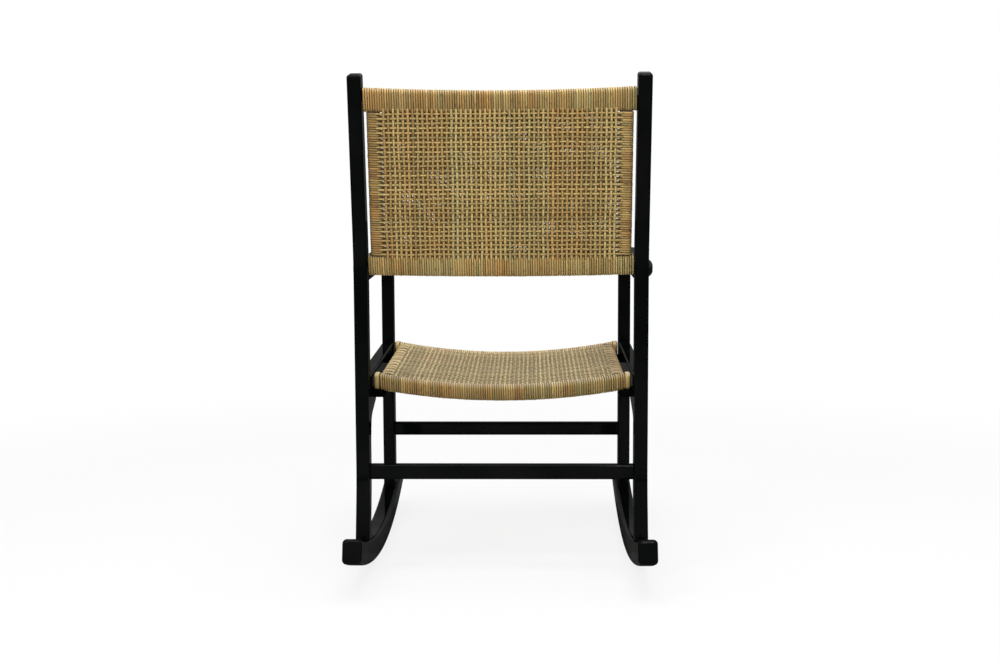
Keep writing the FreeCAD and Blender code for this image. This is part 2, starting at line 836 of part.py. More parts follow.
def make_panel_rail(name, middle, angle, half, top, low, depth, holes):
    """Makes one dished panel rail: the wood core and the cane wrapped around it."""
    core = new_body(name, (0,) + middle, angle=angle)
    inset = size["wrap_thickness"] + glue
    pad(core, dished_outline(core, half, top, low, inset), depth - inset * 2)
    wrap = new_body(name + "_wrap", (0,) + middle, angle=angle)
    pad(wrap, dished_outline(wrap, half, top, low), depth)
    tunnel = dished_outline(wrap, half + OVERCUT, top, low, size["wrap_thickness"])
    tube = pocket(wrap, tunnel, depth - size["wrap_thickness"] * 2)
    outside = depth.number / 2 - TOUCH
    ends = edges_along(tube.Shape, Vector(0, 0, 1))
    names = edges_where(tube.Shape, lambda point: abs(point.y) > outside)
    round_edges(wrap, tube, [edge for edge in names if edge not in ends], size["wrap_rounding"])
    for diameter, length, start, axis, turn in holes:
        drill(core, diameter, length, start, axis, turn)
        drill(wrap, diameter, length, start, axis, turn)
    return [core, wrap]


def make_side_bar(name, middle, angle, lengths, upright):
    """Makes one straight panel bar, its wood core and the cane wrapped around it."""
    direction = Vector(0, 0, 1) if upright else Vector(0, 1, 0)
    way = 2 if upright else 1
    inset = size["wrap_thickness"] + glue
    core = new_body(name + "_right", middle, angle=angle)
    core_lengths = [value - inset * 2 for value in lengths]
    core_lengths[way] = lengths[way]
    bar = block(core, core_lengths, (0, 0, 0))
    round_edges(core, bar, edges_along(bar.Shape, direction), size["core_rounding"])
    depth = size["panel_dowel_length"] / 2 + glue
    for begin in (lengths[way] / 2 - depth, -(lengths[way] / 2) - OVERCUT):
        start = [nothing, nothing, nothing]
        start[way] = begin
        if upright:
            drill(core, dowel_hole, depth + OVERCUT, start)
        else:
            drill(core, dowel_hole, depth + OVERCUT, start, (-1, 0, 0), right_angle)
    wrap = new_body(name + "_wrap_right", middle, angle=angle)
    sleeve = block(wrap, lengths, (0, 0, 0))
    round_edges(wrap, sleeve, edges_along(sleeve.Shape, direction), size["wrap_rounding"])
    tunnel = [value - size["wrap_thickness"] * 2 for value in lengths]
    tunnel[way] = lengths[way] + OVERCUT * 2
    block(wrap, tunnel, (0, 0, 0), cut=True)
    return [core, wrap]


def make_weave(name, middle, angle, half, top, low, lower, upper, length):
    """Makes one layer of open weave, between two dipping arcs."""
    body = new_body(name, (0,) + middle, angle=angle)
    corners = [
        (-half, low.level(half, lower), low.radius + lower),
        (half, low.level(half, lower)),
        (half, top.level(half, upper), -(top.radius + upper)),
        (-half, top.level(half, upper)),
    ]
    pad(body, outline(body, "FrontView", "XZ_Plane", corners), length)
    return body


def make_seat_panel():
    """The dished seat: two rails, two side bars, their wrapping and two weave layers."""
    depth = size["seat_rail_depth"]
    reach = size["panel_dowel_length"] / 2 + glue
    pieces = []
    for name, middle, side in (
        ("seat_rear_rail", seat_rail_middle, 1),
        ("seat_front_rail", seat_front_middle, -1),
    ):
        holes = []
        for x in (seat_bar_x, -seat_bar_x):
            start = (x, (depth / 2 - reach) * side, seat_bar_middle)
            holes.append((dowel_hole, reach + OVERCUT, start, (-side, 0, 0), right_angle))
        for x in (seat_screw_x, -seat_screw_x):
            start = (x, 0, block_under)
            holes.append((screw_hole, size["seat_screw_length"] + glue, start, (1, 0, 0), None))
        centre = in_seat(middle, 0)
        pieces += make_panel_rail(name, centre, slope, seat_half, seat_top, seat_low, depth, holes)
    length = seat_depth - (depth + glue) * 2
    centre = in_seat(seat_depth / 2, seat_bar_middle)
    lengths = [size["seat_bar_width"], length, size["seat_bar_height"]]
    bars = make_side_bar("seat_side_bar", (seat_bar_x,) + centre, slope, lengths, False)
    pieces += bars + [mirrored(bar) for bar in bars]
    centre = in_seat(seat_depth / 2, 0)
    thick = size["weave_thickness"]
    pieces.append(make_weave("seat_top_weave", centre, slope, seat_field_half, seat_top, seat_top,
                             thick, nothing, length))
    pieces.append(make_weave("seat_under_weave", centre, slope, seat_field_half, seat_low, seat_low,
                             nothing, -thick, length))
    return pieces


def make_back_panel():
    """The flat back: two rails, two side bars, their wrapping and two weave layers."""
    depth = size["back_panel_depth"]
    reach = size["panel_dowel_length"] / 2 + glue
    middle = in_back(0, 0)
    pieces = []
    rails = (
        ("back_bottom_rail", back_low_top, back_low, back_dowel_low, 1),
        ("back_top_rail", back_top, back_top_low, back_dowel_high, -1),
    )
    for name, top, low, level, side in rails:
        holes = []
        for x in (back_bar_x, -back_bar_x):
            edge = back_low_top_end if side > 0 else back_top_low_end
            start = (x, 0, edge - reach if side > 0 else edge - OVERCUT * 2)
            holes.append((dowel_hole, reach + OVERCUT * 2, start, (1, 0, 0), None))
        inner = back_half - size["back_dowel_depth"] - glue
        deep = size["back_dowel_depth"] + OVERCUT * 2
        for sign in (1, -1):
            holes.append((dowel_hole, deep, (inner * sign, 0, level), (0, sign, 0), right_angle))
        pieces += make_panel_rail(name, middle, recline, back_half, top, low, depth, holes)
    bar_inner = back_bar_x - size["back_bar_width"] / 2
    low_end = back_low_top_end + glue
    high_end = back_top_low.level(bar_inner) - glue
    length = high_end - low_end
    centre = in_back(0, (low_end + high_end) / 2)
    lengths = [size["back_bar_width"], depth, length]
    bars = make_side_bar("back_side_bar", (back_bar_x,) + centre, recline, lengths, True)
    pieces += bars + [mirrored(bar) for bar in bars]
    thick = size["weave_thickness"]
    for name, side in (("back_rear_weave", -1), ("back_front_weave", 1)):
        centre = in_back((depth - thick) / 2 * side, 0)
        pieces.append(make_weave(name, centre, recline, back_field_half, back_top_low, back_low_top,
                                 -glue, glue, thick))
    return pieces


def make_rod(name, diameter, length, start, axis, angle):
    """Makes one straight pin or screw shank as a cylinder."""
    rod = doc.addObject("Part::Cylinder", name)
    bind(rod, "Radius", as_size(diameter) / 2)
    bind(rod, "Height", length)
    place(rod, start, axis, angle)
    return rod


def make_group(name, members):
    """Joins equal fasteners into one node of separate solids."""
    group = doc.addObject("Part::Compound", name)
    group.Label = name
    group.Links = members
    doc.recompute()
    return group


def make_dowels(name, length, starts):
    """Makes a group of dowels, each from a start point with an axis and a turn."""
    members = []
    for number, (start, axis, angle) in enumerate(starts, start=1):
        label = "%s_%d" % (name, number)
        members.append(make_rod(label, size["dowel_diameter"], length, start, axis, angle))
    return make_group(name, members)


def make_screws(name, length, starts):
    """Makes a group of round-headed screws; each start is the outside of a head."""
    members = []
    for number, (start, axis, angle) in enumerate(starts, start=1):
        label = "%s_%d" % (name, number)
        turn = (start, axis, angle)
        head = make_rod(label + "_head", size["screw_head_diameter"], size["screw_head_height"], *turn)
        shank = make_rod(label + "_shank", size["screw_diameter"], length, *turn)
        screw = doc.addObject("Part::Fuse", label)
        screw.Base = head
        screw.Tool = shank
        members.append(screw)
    return make_group(name, members)


def both_sides(x, y, z, axis, angle=None):
    """Returns a fastener's start on the right and its mirror image on the left."""
    mirror = (axis[0], -axis[1], axis[2])
    return [((x, y, z), axis, angle), ((-x, y, z), mirror, angle)]


def make_fastenings():
    """The dowels and the screws that hold the chair together."""
    up_forward = (-1, 0, 0)
    up_backward = (1, 0, 0)
    outward = (0, 1, 0)
    groups = []
    starts = both_sides(half_spacing, *rear_foot_dowel(nothing), up_forward, rake)
    starts += both_sides(half_spacing, *front_foot_dowel(nothing), up_forward)
    groups.append(make_dowels("foot_dowels", size["foot_dowel_length"], starts))
    starts = both_sides(half_spacing, *rear_arm_dowel(nothing), up_forward, right_angle - arm_lean)
    starts += both_sides(half_spacing, *front_arm_dowel(nothing), up_backward, arm_lean)
    groups.append(make_dowels("arm_dowels", size["arm_dowel_length"], starts))
    inner = back_half - size["back_dowel_depth"]
    length = size["back_dowel_depth"] * 2 + post_inner - back_half
    starts = both_sides(inner, *in_back(0, back_dowel_low), outward, right_angle)
    starts += both_sides(inner, *in_back(0, back_dowel_high), outward, right_angle)
    groups.append(make_dowels("back_panel_dowels", length, starts))
    half = size["panel_dowel_length"] / 2
    rear = in_seat(size["seat_rail_depth"] - half, seat_bar_middle)
    front = in_seat(seat_depth - size["seat_rail_depth"] - half, seat_bar_middle)
    starts = both_sides(seat_bar_x, *rear, up_forward, right_angle - slope)
    starts += both_sides(seat_bar_x, *front, up_forward, right_angle - slope)
    groups.append(make_dowels("seat_frame_dowels", half * 2, starts))
    starts = both_sides(back_bar_x, *in_back(0, back_low_top_end - half), up_backward, recline)
    starts += both_sides(back_bar_x, *in_back(0, back_top_low_end - half), up_backward, recline)
    groups.append(make_dowels("back_frame_dowels", half * 2, starts))
    low = block_under - glue - size["screw_head_height"]
    starts = both_sides(seat_screw_x, *in_seat(seat_rail_middle, low), up_backward, slope)
    starts += both_sides(seat_screw_x, *in_seat(seat_front_middle, low), up_backward, slope)
    groups.append(make_screws("seat_screws", size["seat_screw_length"], starts))
    x = block_inner + size["block_slant"]
    starts = both_sides(x, *in_seat(block_rear_screw, block_screw_level), outward, right_angle)
    starts += both_sides(x, *in_seat(block_front_screw, block_screw_level), outward, right_angle)
    groups.append(make_screws("corner_block_screws", size["block_screw_length"], starts))
    head = size["screw_head_height"] + glue
    level = brace_seat_level(brace_rail_screw) - head
    starts = both_sides(half_spacing, brace_rail_screw, level, up_backward)
    reach = brace_y + size["brace_seat"] + head
    starts += both_sides(half_spacing, reach, brace_post_screw, up_backward, right_angle)
    groups.append(make_screws("knee_brace_screws", size["brace_screw_length"], starts))
    return groups


def make_chair():
    """Builds every piece and returns the list of nodes."""
    rear = (block_rear_middle, block_rear_screw, seat_rail_middle)
    front = (block_front_middle, block_front_screw, seat_front_middle)
    right = [
        make_rocker(),
        make_rear_post(),
        make_front_post(),
        make_arm(),
        make_side_rail(),
        make_brace(),
        make_corner_block("rear_corner_block_right", *rear),
        make_corner_block("front_corner_block_right", *front),
    ]
    nodes = right + [mirrored(body) for body in right]
    nodes.append(make_stretcher("rear_stretcher", rear_middle))
    nodes.append(make_stretcher("front_stretcher", front_middle))
    return nodes + make_seat_panel() + make_back_panel() + make_fastenings()


def check_and_export(nodes):
    """Stops on any failed object, then writes each node's STEP file."""
    doc.recompute()
    for thing in doc.Objects:
        if "Invalid" in thing.State or "Error" in thing.State:
            raise RuntimeError("failed: %s %s" % (thing.Name, thing.State))
    os.makedirs("parts", exist_ok=True)
    for node in nodes:
        shape = node.Shape
        if shape.isNull() or not shape.isValid():
            raise RuntimeError("bad shape: " + node.Label)
        print("%-28s %2d solids %10.0f mm3" % (node.Label, len(shape.Solids), shape.Volume))
    for node in nodes:
        node.Shape.exportStep("parts/%s.step" % node.Label)


check_and_export(make_chair())
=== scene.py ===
"""Dresses the bentwood rocking chair: black lacquered frame, wound and woven cane panels.

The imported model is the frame. Its wooden pieces keep their shape and get their finish here.
The plain sleeves and mats of cane are replaced by strands that are wound and woven one by one.
All lengths are in metres, in the row's frame: +Z up, the sitter faces +Y.
"""
import logging
import math
from dataclasses import dataclass, field
from enum import Enum
from typing import Any, ClassVar

import bmesh
import bpy
import numpy as np
from mathutils import Euler, Matrix, Vector


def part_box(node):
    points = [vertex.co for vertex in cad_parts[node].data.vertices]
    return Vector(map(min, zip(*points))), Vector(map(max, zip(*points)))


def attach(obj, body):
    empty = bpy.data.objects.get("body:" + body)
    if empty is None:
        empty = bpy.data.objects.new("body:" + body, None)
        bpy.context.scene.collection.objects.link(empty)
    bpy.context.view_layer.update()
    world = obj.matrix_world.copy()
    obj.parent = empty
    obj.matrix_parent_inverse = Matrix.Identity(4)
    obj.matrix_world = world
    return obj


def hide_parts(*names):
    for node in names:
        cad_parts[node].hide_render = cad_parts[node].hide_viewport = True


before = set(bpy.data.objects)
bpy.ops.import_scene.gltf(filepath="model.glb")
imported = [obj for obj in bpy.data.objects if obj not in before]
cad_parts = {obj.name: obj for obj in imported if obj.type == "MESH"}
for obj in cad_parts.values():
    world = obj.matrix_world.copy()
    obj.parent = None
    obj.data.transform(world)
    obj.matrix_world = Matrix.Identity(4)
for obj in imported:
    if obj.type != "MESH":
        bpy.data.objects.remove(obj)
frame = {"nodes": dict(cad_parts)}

log = logging.getLogger("rocking_chair")
BODY = "root"


class Grain(Enum):
    """The axis along which a wooden piece's grain runs."""

    ACROSS = "across"
    ALONG = "along"
    UPRIGHT = "upright"


class Run(Enum):
    """The way a bar or a strand runs in its panel."""

    SIDEWAYS = "sideways"
    LENGTHWISE = "lengthwise"


# Shader maths


class Value:
    """A socket of a material, with the operators that the finishes use."""

    def __init__(self, bench: "Bench", socket: bpy.types.NodeSocket) -> None:
        """Keeps the socket and the bench that makes further nodes."""
        self.bench = bench
        self.socket = socket

    def math(self, operation: str, *others: Any, first: Any = None) -> "Value":
        """Adds a Math node.

        Args:
            operation: The Math node's operation.
            others: The other numbers or values, in order.
            first: A number that stands before this value, if there is one.

        Returns:
            The result as a value.
        """
        terms = [self, *others] if first is None else [first, self]
        node = self.bench.make("ShaderNodeMath", {"operation": operation}, dict(enumerate(terms)))
        return Value(self.bench, node.outputs[0])

    def __add__(self, other: Any) -> "Value":
        """Returns the sum."""
        return self.math("ADD", other)

    def __radd__(self, other: Any) -> "Value":
        """Returns the sum with a number in front."""
        return self.math("ADD", first=other)

    def __sub__(self, other: Any) -> "Value":
        """Returns the difference."""
        return self.math("SUBTRACT", other)

    def __rsub__(self, other: Any) -> "Value":
        """Returns the difference with a number in front."""
        return self.math("SUBTRACT", first=other)

    def __mul__(self, other: Any) -> "Value":
        """Returns the product."""
        return self.math("MULTIPLY", other)

    def __rmul__(self, other: Any) -> "Value":
        """Returns the product with a number in front."""
        return self.math("MULTIPLY", first=other)

    def fraction(self) -> "Value":
        """Returns the part after the decimal point."""
        return self.math("FRACT")

    def size(self) -> "Value":
        """Returns the value without its sign."""
        return self.math("ABSOLUTE")

    def step(self, low: float, high: float) -> "Value":
        """Smooths the value into a rise from 0 to 1.

        Args:
            low: Where the rise begins.
            high: Where it ends.

        Returns:
            0 below low, 1 above high, and the rise between them.
        """
        inputs = {"Value": self, "From Min": low, "From Max": high}
        node = self.bench.make("ShaderNodeMapRange", {"interpolation_type": "SMOOTHSTEP"}, inputs)
        return Value(self.bench, node.outputs["Result"])


class Bench:
    """The node tree of one material or of the world."""

    def __init__(self, tree: bpy.types.NodeTree) -> None:
        """Empties the tree."""
        self.tree = tree
        tree.nodes.clear()

    def make(
        self,
        kind: str,
        settings: dict[str, Any] | None = None,
        inputs: dict[Any, Any] | None = None,
    ) -> bpy.types.Node:
        """Makes any node.

        Args:
            kind: The node's type.
            settings: Its properties, or the stops of its ramp, which are set first.
            inputs: Numbers, colours, values or sockets for its inputs, by name or place.

        Returns:
            The new node.
        """
        node = self.tree.nodes.new(kind)
        for name, setting in (settings or {}).items():
            if name == "stops":
                self._set_stops(node.color_ramp, setting)
            else:
                setattr(node, name, setting)
        for name, source in (inputs or {}).items():
            if isinstance(source, Value):
                source = source.socket
            if isinstance(source, bpy.types.NodeSocket):
                self.tree.links.new(source, node.inputs[name])
            else:
                node.inputs[name].default_value = source
        return node

    @staticmethod
    def _set_stops(ramp: bpy.types.ColorRamp, stops: list[tuple[float, tuple[float, ...]]]) -> None:
        """Gives a ramp its stops.

        Args:
            ramp: The ramp.
            stops: A place and a colour for each stop.
        """
        while len(ramp.elements) < len(stops):
            ramp.elements.new(1.0)
        for element, (place, colour) in zip(ramp.elements, stops):
            element.position = place
            element.color = (*colour, 1.0)

    def attribute(self, name: str) -> Value:
        """Returns a number that a piece keeps at its points."""
        node = self.make("ShaderNodeAttribute", {"attribute_name": name})
        return Value(self, node.outputs["Fac"])

    def vector(self, x: Any, y: Any, z: Any) -> Value:
        """Returns a vector made of three values or numbers."""
        node = self.make("ShaderNodeCombineXYZ", None, {"X": x, "Y": y, "Z": z})
        return Value(self, node.outputs["Vector"])

    def place(self, stretch: tuple[float, float, float] = (1.0, 1.0, 1.0)) -> Value:
        """Reads the object coordinates.

        Args:
            stretch: How much they grow along each axis.

        Returns:
            The stretched coordinates.
        """
        inputs = {0: self.make("ShaderNodeTexCoord").outputs["Object"], 1: stretch}
        scaled = self.make("ShaderNodeVectorMath", {"operation": "MULTIPLY"}, inputs)
        return Value(self, scaled.outputs["Vector"])

    def noise(self, where: Value, scale: float = 1.0, detail: float = 1.0) -> Value:
        """Adds a soft noise.

        Args:
            where: The vector at which the noise is read.
            scale: How fine it is.
            detail: How many finer noises lie in it.

        Returns:
            The noise, between 0 and 1.
        """
        inputs = {"Vector": where, "Scale": scale, "Detail": detail}
        node = self.make("ShaderNodeTexNoise", None, inputs)
        return Value(self, node.outputs["Fac"])

    def ramp(self, factor: Value, stops: list[tuple[float, tuple[float, ...]]]) -> Value:
        """Returns the colour of a ramp at a factor."""
        node = self.make("ShaderNodeValToRGB", {"stops": stops}, {"Fac": factor})
        return Value(self, node.outputs["Color"])

    def mix(self, factor: Any, first: Any, second: Any) -> Value:
        """Returns a blend of two colours."""
        node = self.make("ShaderNodeMix", {"data_type": "RGBA"}, {0: factor, 6: first, 7: second})
        return Value(self, node.outputs[2])

    def dim(self, colour: Value, share: Value) -> Value:
        """Dims a colour.

        Args:
            colour: The colour.
            share: How much of its brightness is left.

        Returns:
            The dimmed colour.
        """
        inputs = {0: colour, "Scale": share}
        node = self.make("ShaderNodeVectorMath", {"operation": "SCALE"}, inputs)
        return Value(self, node.outputs["Vector"])

    def bump(self, height: Value, strength: float, distance: float) -> Value:
        """Adds small heights to a surface.

        Args:
            height: The heights, between 0 and 1.
            strength: How much of them shows.
            distance: The highest one, in metres.

        Returns:
            The surface's normal.
        """
        inputs = {"Height": height, "Strength": strength, "Distance": distance}
        node = self.make("ShaderNodeBump", None, inputs)
        return Value(self, node.outputs["Normal"])

    def surface(self, inputs: dict[str, Any]) -> None:
        """Ends the tree in one Principled shader with these inputs."""
        shader = self.make("ShaderNodeBsdfPrincipled", None, inputs)
        self.make("ShaderNodeOutputMaterial", None, {"Surface": shader.outputs["BSDF"]})


def new_material(name: str) -> tuple[bpy.types.Material, Bench]:
    """Makes an empty material with nodes.

    Args:
        name: The material's name.

    Returns:
        The material and its bench.
    """
    material = bpy.data.materials.new(name)
    material.use_nodes = True
    return material, Bench(material.node_tree)


# Finishes


@dataclass(frozen=True)
class BlackLacquer:
    """Glossy black lacquer over bent wood, with a faint grain under it."""

    name: str = "black_lacquer"
    dark: tuple[float, float, float] = (0.0012, 0.0017, 0.0015)
    light: tuple[float, float, float] = (0.0030, 0.0036, 0.0032)
    roughness: float = 0.30
    roughness_spread: float = 0.20
    gloss: float = 0.05
    gloss_spread: float = 0.05
    coat_roughness: float = 0.06
    coat_ior: float = 1.5
    cloud_scale: float = 9.0
    cloud_range: tuple[float, float] = (0.35, 0.75)
    pore_scale: float = 260.0
    pore_share: float = 0.6
    peel_scale: float = 140.0
    along_grain: float = 0.05
    bump_strength: float = 0.10
    bump_height: float = 0.0006

    def material(self, grain: Grain) -> bpy.types.Material:
        """Makes the lacquer for one direction of the grain.

        Args:
            grain: The axis along which the pores are drawn out.

        Returns:
            The material.
        """
        material, bench = new_material(self.name + "_" + grain.value)
        axis = [Grain.ACROSS, Grain.ALONG, Grain.UPRIGHT].index(grain)
        stretch = [1.0, 1.0, 1.0]
        stretch[axis] = self.along_grain
        cloud = bench.noise(bench.place(), self.cloud_scale, detail=4.0)
        pores = bench.noise(bench.place(tuple(stretch)), self.pore_scale, detail=3.0)
        peel = bench.noise(bench.place(), self.peel_scale)
        colour = bench.mix(cloud.step(*self.cloud_range), (*self.dark, 1.0), (*self.light, 1.0))
        height = pores * self.pore_share + peel * (1.0 - self.pore_share)
        bench.surface(
            {
                "Base Color": colour,
                "Roughness": self.roughness + (cloud - 0.5) * self.roughness_spread,
                "Normal": bench.bump(height, self.bump_strength, self.bump_height),
                "Specular IOR Level": 0.0,
                "Coat Weight": self.gloss + cloud * self.gloss_spread,
                "Coat Roughness": self.coat_roughness,
                "Coat IOR": self.coat_ior,
            }
        )
        return material


@dataclass(frozen=True)
class BareWood:
    """Unfinished wood of the dowels and of the bars inside the cane."""

    name: str
    dark: tuple[float, float, float]
    light: tuple[float, float, float]
    ring_stretch: tuple[float, float, float] = (30.0, 30.0, 30.0)
    ring_range: tuple[float, float] = (0.3, 0.7)
    fibre_stretch: tuple[float, float, float] = (400.0, 400.0, 60.0)
    fibre_contrast: float = 0.5
    roughness: float = 0.6
    roughness_spread: float = 0.2
    bump_strength: float = 0.2
    bump_height: float = 0.0004

    def material(self) -> bpy.types.Material:
        """Makes the wood.

        Returns:
            The material, with clouded rings and fine upright fibres.
        """
        material, bench = new_material(self.name)
        rings = bench.noise(bench.place(self.ring_stretch), scale=5.0, detail=5.0)
        fibre = bench.noise(bench.place(self.fibre_stretch), detail=3.0)
        colour = bench.mix(rings.step(*self.ring_range), (*self.dark, 1.0), (*self.light, 1.0))
        shade = (1.0 - self.fibre_contrast / 2) + fibre * self.fibre_contrast
        bench.surface(
            {
                "Base Color": bench.dim(colour, shade),
                "Roughness": self.roughness + fibre * self.roughness_spread,
                "Normal": bench.bump(fibre, self.bump_strength, self.bump_height),
            }
        )
        return material


@dataclass(frozen=True)
class ScrewSteel:
    """Plain steel with fine turning marks."""

    light: tuple[float, float, float] = (0.48, 0.47, 0.45)
    dark: tuple[float, float, float] = (0.36, 0.35, 0.34)
    mark_stretch: tuple[float, float, float] = (900.0, 900.0, 900.0)
    roughness: float = 0.28
    roughness_spread: float = 0.2

    def material(self) -> bpy.types.Material:
        """Makes the steel.

        Returns:
            The material.
        """
        material, bench = new_material("screw_steel")
        marks = bench.noise(bench.place(self.mark_stretch), detail=2.0)
        base = bench.mix(marks, (*self.light, 1.0), (*self.dark, 1.0))
        roughness = self.roughness + marks * self.roughness_spread
        bench.surface({"Base Color": base, "Roughness": roughness, "Metallic": 1.0})
        return material


@dataclass(frozen=True)
class SplitCane:
    """Split cane: fine fibres, dark knots and joints, painted shade at the edges, painted light on
    tops.

    Rates say how fast a noise changes along a strand and across it. Seeds take each strand, by its
    chance number, to its own part of a noise. A pair that shades the cane is the least it does and
    how much a noise or the tone adds.
    """

    hues: tuple[tuple[float, tuple[float, float, float]], ...] = (
        (0.00, (0.265, 0.232, 0.095)),
        (0.28, (0.370, 0.292, 0.118)),
        (0.50, (0.380, 0.262, 0.095)),
        (0.72, (0.375, 0.213, 0.066)),
        (0.88, (0.275, 0.150, 0.060)),
        (1.00, (0.300, 0.182, 0.085)),
    )
    hue_patches: float = 0.30
    patch_rate: float = 14.0
    patch_seed: float = 91.0
    # Painted light: the pale colour that upper faces are mixed towards, as if lit from above
    painted_top_light: tuple[float, float, float] = (0.510, 0.430, 0.265)
    painted_top_light_share: float = 0.34
    painted_top_light_range: tuple[float, float] = (0.30, 0.75)
    joint: tuple[float, float, float] = (0.075, 0.040, 0.018)
    joint_spacing: float = 0.21
    joint_length: float = 0.0035
    joint_core: float = 0.3
    joint_share: float = 0.35
    joint_seed: float = 7.0
    knot_rates: tuple[float, float] = (120.0, 2.0)
    knot_range: tuple[float, float] = (0.69, 0.75)
    knot_share: float = 0.80
    knot_seed: float = 77.0
    # Painted shade along the strands' edges, where they meet their neighbours: where it starts and
    # ends across a strand, how strong it is, and the noise that varies it
    painted_shade_span: tuple[float, float] = (0.22, 0.49)
    painted_shade_strength: tuple[float, float] = (0.60, 0.50)
    edge_rate: float = 5.0
    edge_seed: float = 133.0
    fibre_rates: tuple[float, float] = (90.0, 9.0)
    fibre_shade: tuple[float, float] = (0.76, 0.48)
    fibre_seed: float = 57.0
    tone_shade: tuple[float, float] = (0.77, 0.76)
    roughness: tuple[float, float] = (0.42, 0.25)
    specular: float = 0.20
    bump_strength: float = 0.35
    bump_height: float = 0.0003

    def material(self) -> bpy.types.Material:
        """Makes the cane, which reads the numbers that each strand keeps at its points.

        Returns:
            The material.
        """
        material, bench = new_material("split_cane")
        along, across, batch = (bench.attribute(name) for name in ("along", "across", "batch"))
        rate_along, rate_across = self.fibre_rates
        where = bench.vector(along * rate_along, across * rate_across, batch * self.fibre_seed)
        fibre = bench.noise(where, detail=3.0)
        # Painted shade: each strand darkens towards its edges, more in some stretches than in
        # others
        gap = bench.noise(bench.vector(batch * self.edge_seed, along * self.edge_rate, 0.0))
        edge_low, edge_more = self.painted_shade_strength
        edge = across.size().step(*self.painted_shade_span) * (edge_low + gap * edge_more)
        tone_low, tone_more = self.tone_shade
        fibre_low, fibre_more = self.fibre_shade
        shade = (tone_low + bench.attribute("tone") * tone_more) * (fibre_low + fibre * fibre_more)
        colour = self._colour(bench, along, across, batch)
        bench.surface(
            {
                "Base Color": bench.dim(colour, shade * (1.0 - edge)),
                "Roughness": self.roughness[0] + fibre * self.roughness[1],
                "Normal": bench.bump(fibre, self.bump_strength, self.bump_height),
                "Specular IOR Level": self.specular,
            }
        )
        return material

    def _colour(self, bench: Bench, along: Value, across: Value, batch: Value) -> Value:
        """Mixes the strand's hue with painted light on its upper faces, and with its joints and
        knots.

        Args:
            bench: The material's nodes.
            along: How far along the strand a point lies, in metres.
            across: How far across it, from -0.5 to 0.5.
            batch: The strand's chance number.

        Returns:
            The colour, before it is shaded.
        """
        where = bench.vector(along * self.patch_rate, batch * self.patch_seed, 0.0)
        patch = bench.noise(where, detail=2.0)
        hue = bench.attribute("hue") + (patch - 0.5) * self.hue_patches
        # Painted light: the more a face turns up, the more it is mixed towards the pale colour
        upward = bench.attribute("upward").step(*self.painted_top_light_range)
        colour = bench.ramp(hue, list(self.hues))
        colour = bench.mix(upward * self.painted_top_light_share, colour, (*self.painted_top_light, 1.0))
        turn = (along * (1.0 / self.joint_spacing) + batch * self.joint_seed).fraction()
        near = (turn - 0.5).size() * self.joint_spacing
        core = self.joint_length * self.joint_core
        joint = (1.0 - near.step(core, self.joint_length)) * self.joint_share
        knot_along, knot_across = self.knot_rates
        where = bench.vector(along * knot_along, across * knot_across, batch * self.knot_seed)
        knots = bench.noise(where).step(*self.knot_range) * self.knot_share
        return bench.mix(joint.math("MAXIMUM", knots), colour, (*self.joint, 1.0))


# Strands of cane


class StrandStock:
    """Straight strips of cane, each modelled once and then copied and bent."""

    SIDES = 6

    def __init__(self) -> None:
        """Starts with no strips."""
        self._strips: dict[int, tuple[np.ndarray, np.ndarray, np.ndarray]] = {}

    def strip(self, lengths: int) -> tuple[np.ndarray, np.ndarray, np.ndarray]:
        """Returns a strip of unit width, cut across into equal lengths.

        Args:
            lengths: How many lengths the strip has between its ends.

        Returns:
            Its points, with X as the station's number, its corners and its faces' sizes.
        """
        if lengths not in self._strips:
            self._strips[lengths] = self._model(lengths)
        return self._strips[lengths]

    def _model(self, lengths: int) -> tuple[np.ndarray, np.ndarray, np.ndarray]:
        """Models a strip from a rod that lies along X.

        Args:
            lengths: How many lengths the strip has between its ends.

        Returns:
            Its points, its corners and its faces' sizes.
        """
        bpy.ops.object.select_all(action="DESELECT")
        bpy.ops.mesh.primitive_cylinder_add(
            vertices=self.SIDES, radius=0.5, depth=1.0, rotation=(0.0, math.pi / 2, 0.0)
        )
        rod = bpy.context.object
        bpy.ops.object.transform_apply(location=False, rotation=True, scale=False)
        bpy.ops.object.mode_set(mode="EDIT")
        bpy.ops.mesh.select_mode(type="EDGE")
        bpy.ops.mesh.select_all(action="DESELECT")
        shape = bmesh.from_edit_mesh(rod.data)
        for edge in shape.edges:
            edge.select = abs(edge.verts[0].co.x - edge.verts[1].co.x) > 0.5
        bmesh.update_edit_mesh(rod.data)
        bpy.ops.mesh.subdivide(number_cuts=lengths - 1)
        bpy.ops.object.mode_set(mode="OBJECT")
        mesh = rod.data
        points = np.empty(len(mesh.vertices) * 3)
        mesh.vertices.foreach_get("co", points)
        points = points.reshape(-1, 3)
        points[:, 0] = np.rint((points[:, 0] + 0.5) * lengths)
        corners = np.empty(len(mesh.loops), dtype=np.int64)
        mesh.loops.foreach_get("vertex_index", corners)
        counts = np.empty(len(mesh.polygons), dtype=np.int64)
        mesh.polygons.foreach_get("loop_total", counts)
        bpy.data.objects.remove(rod)
        bpy.data.meshes.remove(mesh)
        return points, corners, counts


@dataclass(frozen=True)
class Look:
    """How light a strand is, its hue from green to brown, and its chance number."""

    tone: float
    hue: float
    batch: float

    def tinted_or_shaded(self, tone: float, hue: float) -> "Look":
        """Returns the look with another lightness and hue."""
        return Look(tone, hue, self.batch)


